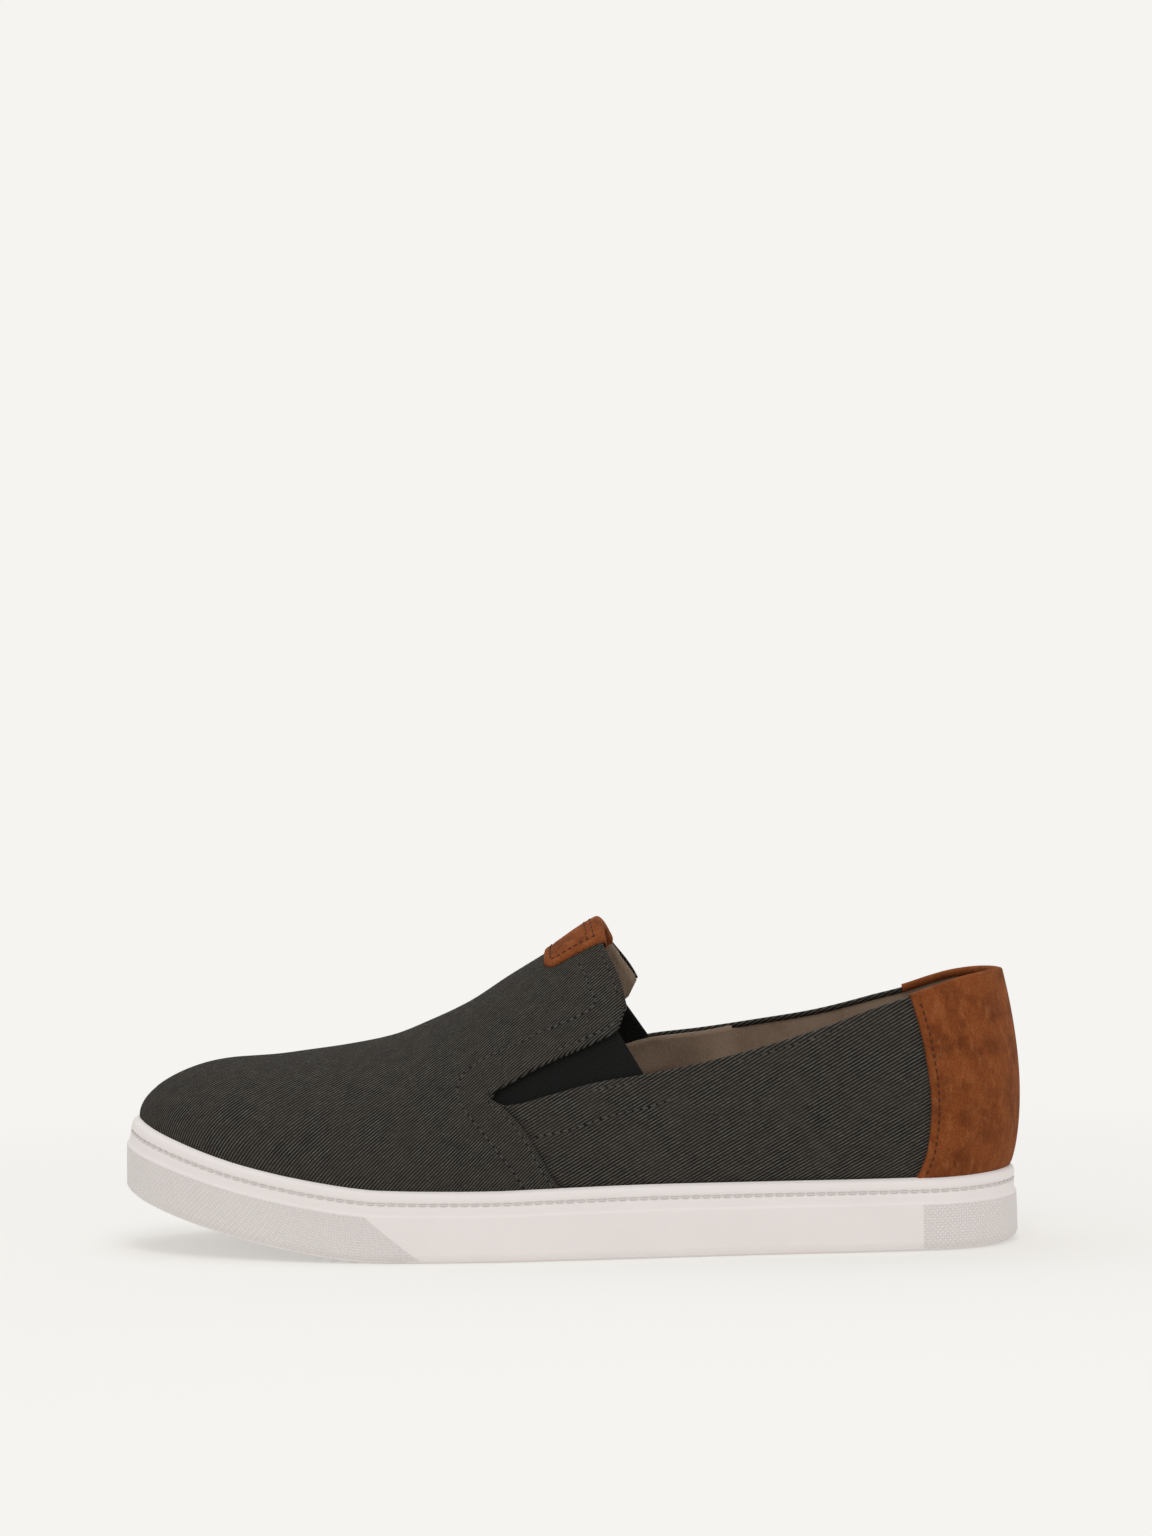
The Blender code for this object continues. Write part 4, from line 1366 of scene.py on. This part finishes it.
def rubber(name, knurled=False, tread=False):
    """Off-white rubber with slow stains and fine specks, knurled in diamonds or cut in waves; painted shade in
    their grooves.
    """
    sh = Shader(name)
    obj = sh.coords("Object")
    uv = sh.coords("UV")
    stain = sh.cloud(obj, 0.020, 4.0)
    base = sh.blend(sh.between(stain, 0.35, 0.75, (0.0, 0.30)), (0.880, 0.828, 0.815), (0.825, 0.765, 0.750))
    speck = sh.cloud(obj, 0.0010, 3.0, 0.6)
    normal = sh.bump(speck, 0.00006, 0.5)
    if knurled:
        a = sh.bands(sh.turned(uv, 48), 0.00120)
        b = sh.bands(sh.turned(uv, -48), 0.00120)
        diamond = sh.math("MULTIPLY", sh.between(a, 0.05, 0.6), sh.between(b, 0.05, 0.6))
        normal = sh.bump(diamond, 0.00022, 0.9, under=normal)
        # Painted shade: the rubber darkens between the raised diamonds, in the knurl's grooves
        base = sh.blend(sh.math("SUBTRACT", 1.0, diamond), base, (0.785, 0.735, 0.722))
    if tread:
        wave = sh.bands(sh.turned(uv, 90), 0.0062, distortion=2.2)
        groove = sh.between(wave, 0.10, 0.26)
        normal = sh.bump(groove, 0.0012, 1.0, under=normal)
        # Painted shade: the rubber darkens in the tread's cut grooves
        base = sh.blend(sh.math("SUBTRACT", 1.0, groove), base, (0.50, 0.46, 0.45))
    return sh.finish(base, 0.56, normal, Specular_IOR_Level=0.35)


def thread(name, colour):
    sh = Shader(name)
    fuzz = sh.cloud(sh.coords("Object"), 0.0005)
    base = sh.blend(fuzz, tuple(c * 0.7 for c in colour), colour)
    return sh.finish(base, 0.8, sh.bump(fuzz, 0.00008, 0.5), Specular_IOR_Level=0.25)


# Making everything

tan_suede = suede("suede_patch")
beige = lining_suede("beige_lining")
black = elastic("gore_elastic")

make_outsole(rubber("sole_rubber"), rubber("sole_knurl", knurled=True), rubber("sole_tread", tread=True))
make_insole(beige)
make_vamp(twill("vamp_twill", 24))
make_quarters(twill("quarter_twill", 29))
make_lining(beige)
make_gore("elastic_lateral", OUTER, black)
make_gore("elastic_medial", INNER, black)
make_heel_patch(tan_suede)
make_tab(tan_suede)

grey = thread("grey_thread", (0.088, 0.083, 0.074))
# Near-black thread for beads of painted shade at the needle holes between the canvas stitches
painted_hole_shade = thread("painted_pinhole_shade", (0.0060, 0.0055, 0.0050))
brown = thread("brown_thread", (0.075, 0.026, 0.012))
white = thread("sole_thread", (0.84, 0.79, 0.78))
rows = canvas_lines()
stitch("canvas_stitches", rows, grey, pitch=0.0027, share=0.74, radius=0.00026)
# Beads of painted shade at the needle holes, sunk a little into the canvas
stitch("canvas_painted_pinhole_shade", rows, painted_hole_shade, pitch=0.0027, share=0.38, radius=0.00048,
       sink=0.00014, start=0.0)
stitch("patch_stitches", patch_lines(), brown, pitch=0.0024, share=0.70, radius=0.00026)
stitch("tab_stitches", tab_stitches(), brown, pitch=0.0022, share=0.70, radius=0.00024)
stitch("sole_stitches", sole_lines(), white, pitch=0.0034, share=0.86, radius=0.00044)

# Floor, light and camera

BACKGROUND = (0.915, 0.905, 0.880)
FLOOR_REACH = 6.0
# Distances over which the floor passes into the plain backdrop, and how much of it glows before and after
FLOOR_FADE = (0.20, 0.60)
FLOOR_GLOW = (0.38, 1.0)
WORLD_STRENGTH = 0.72

# The photo's view: level, 1.23 m off, turned 2.5 degrees about the shoe and rolled 0.9
CAMERA_LENS = 86.3
CAMERA_TURN = math.radians(2.5)
CAMERA_ROLL = math.radians(-0.9)
CAMERA_SIDE = 0.0040
CAMERA_BACK = -1.233
CAMERA_HEIGHT = 0.1585


def make_floor():
    mesh = bpy.data.meshes.new("floor")
    corners = [(x * FLOOR_REACH, y * FLOOR_REACH, 0) for x, y in ((-1, -1), (1, -1), (1, 1), (-1, 1))]
    mesh.from_pydata(corners, [], [(0, 1, 2, 3)])
    floor = add_object("floor", mesh)
    sh = Shader("floor")
    sh.finish(BACKGROUND, 1.0, Specular_IOR_Level=0.0)
    glow = sh.node("ShaderNodeEmission", Color=(*BACKGROUND, 1.0), Strength=1.0)
    distance = sh.node("ShaderNodeVectorMath", {"operation": "LENGTH"})
    sh.put(distance, 0, sh.node("ShaderNodeNewGeometry").outputs["Position"])
    mix = sh.node("ShaderNodeMixShader")
    sh.put(mix, 0, sh.between(distance.outputs["Value"], *FLOOR_FADE, FLOOR_GLOW))
    sh.put(mix, 1, sh.main.outputs[0])
    sh.put(mix, 2, glow.outputs[0])
    sh.put(sh.tree.nodes["Material Output"], "Surface", mix.outputs[0])
    mesh.materials.append(sh.material)


def make_world():
    """The pale studio: the camera sees the backdrop's own tone, and the light from it is a little weaker."""
    world = bpy.data.worlds.new("studio")
    world.use_nodes = True
    nodes, links = world.node_tree.nodes, world.node_tree.links
    seen, lit = nodes["Background"], nodes.new("ShaderNodeBackground")
    for background in (seen, lit):
        background.inputs["Color"].default_value = (*BACKGROUND, 1.0)
    lit.inputs["Strength"].default_value = WORLD_STRENGTH
    mix, path = nodes.new("ShaderNodeMixShader"), nodes.new("ShaderNodeLightPath")
    for k, output in enumerate((path.outputs["Is Camera Ray"], lit.outputs[0], seen.outputs[0])):
        links.new(output, mix.inputs[k])
    links.new(mix.outputs[0], nodes["World Output"].inputs["Surface"])
    bpy.context.scene.world = world


def area_light(name, where, size, power):
    """A round lamp that faces the shoe."""
    data = bpy.data.lights.new(name, "AREA")
    data.shape = "DISK"
    data.size = size
    data.energy = power
    lamp = add_object(name, data)
    lamp.location = where
    lamp.rotation_euler = (Vector((0.0, 0.0, 0.04)) - Vector(where)).to_track_quat("-Z", "Y").to_euler()


def make_camera():
    data = bpy.data.cameras.new("camera")
    data.lens = CAMERA_LENS
    data.sensor_width = 36.0
    camera = add_object("camera", data)
    turn = Euler((0.0, 0.0, CAMERA_TURN)).to_matrix()
    camera.location = turn @ Vector((CAMERA_SIDE, CAMERA_BACK, CAMERA_HEIGHT))
    level, roll = Euler((math.radians(90), 0.0, 0.0)), Euler((0.0, 0.0, CAMERA_ROLL))
    camera.rotation_euler = (turn @ level.to_matrix() @ roll.to_matrix()).to_euler()
    bpy.context.scene.camera = camera


bpy.context.scene.view_settings.view_transform = "Standard"
make_floor()
make_world()
make_camera()
area_light("key", (0.15, -0.75, 1.25), 0.8, 4.2)
area_light("top", (-0.1, 0.35, 1.4), 1.2, 4.2)
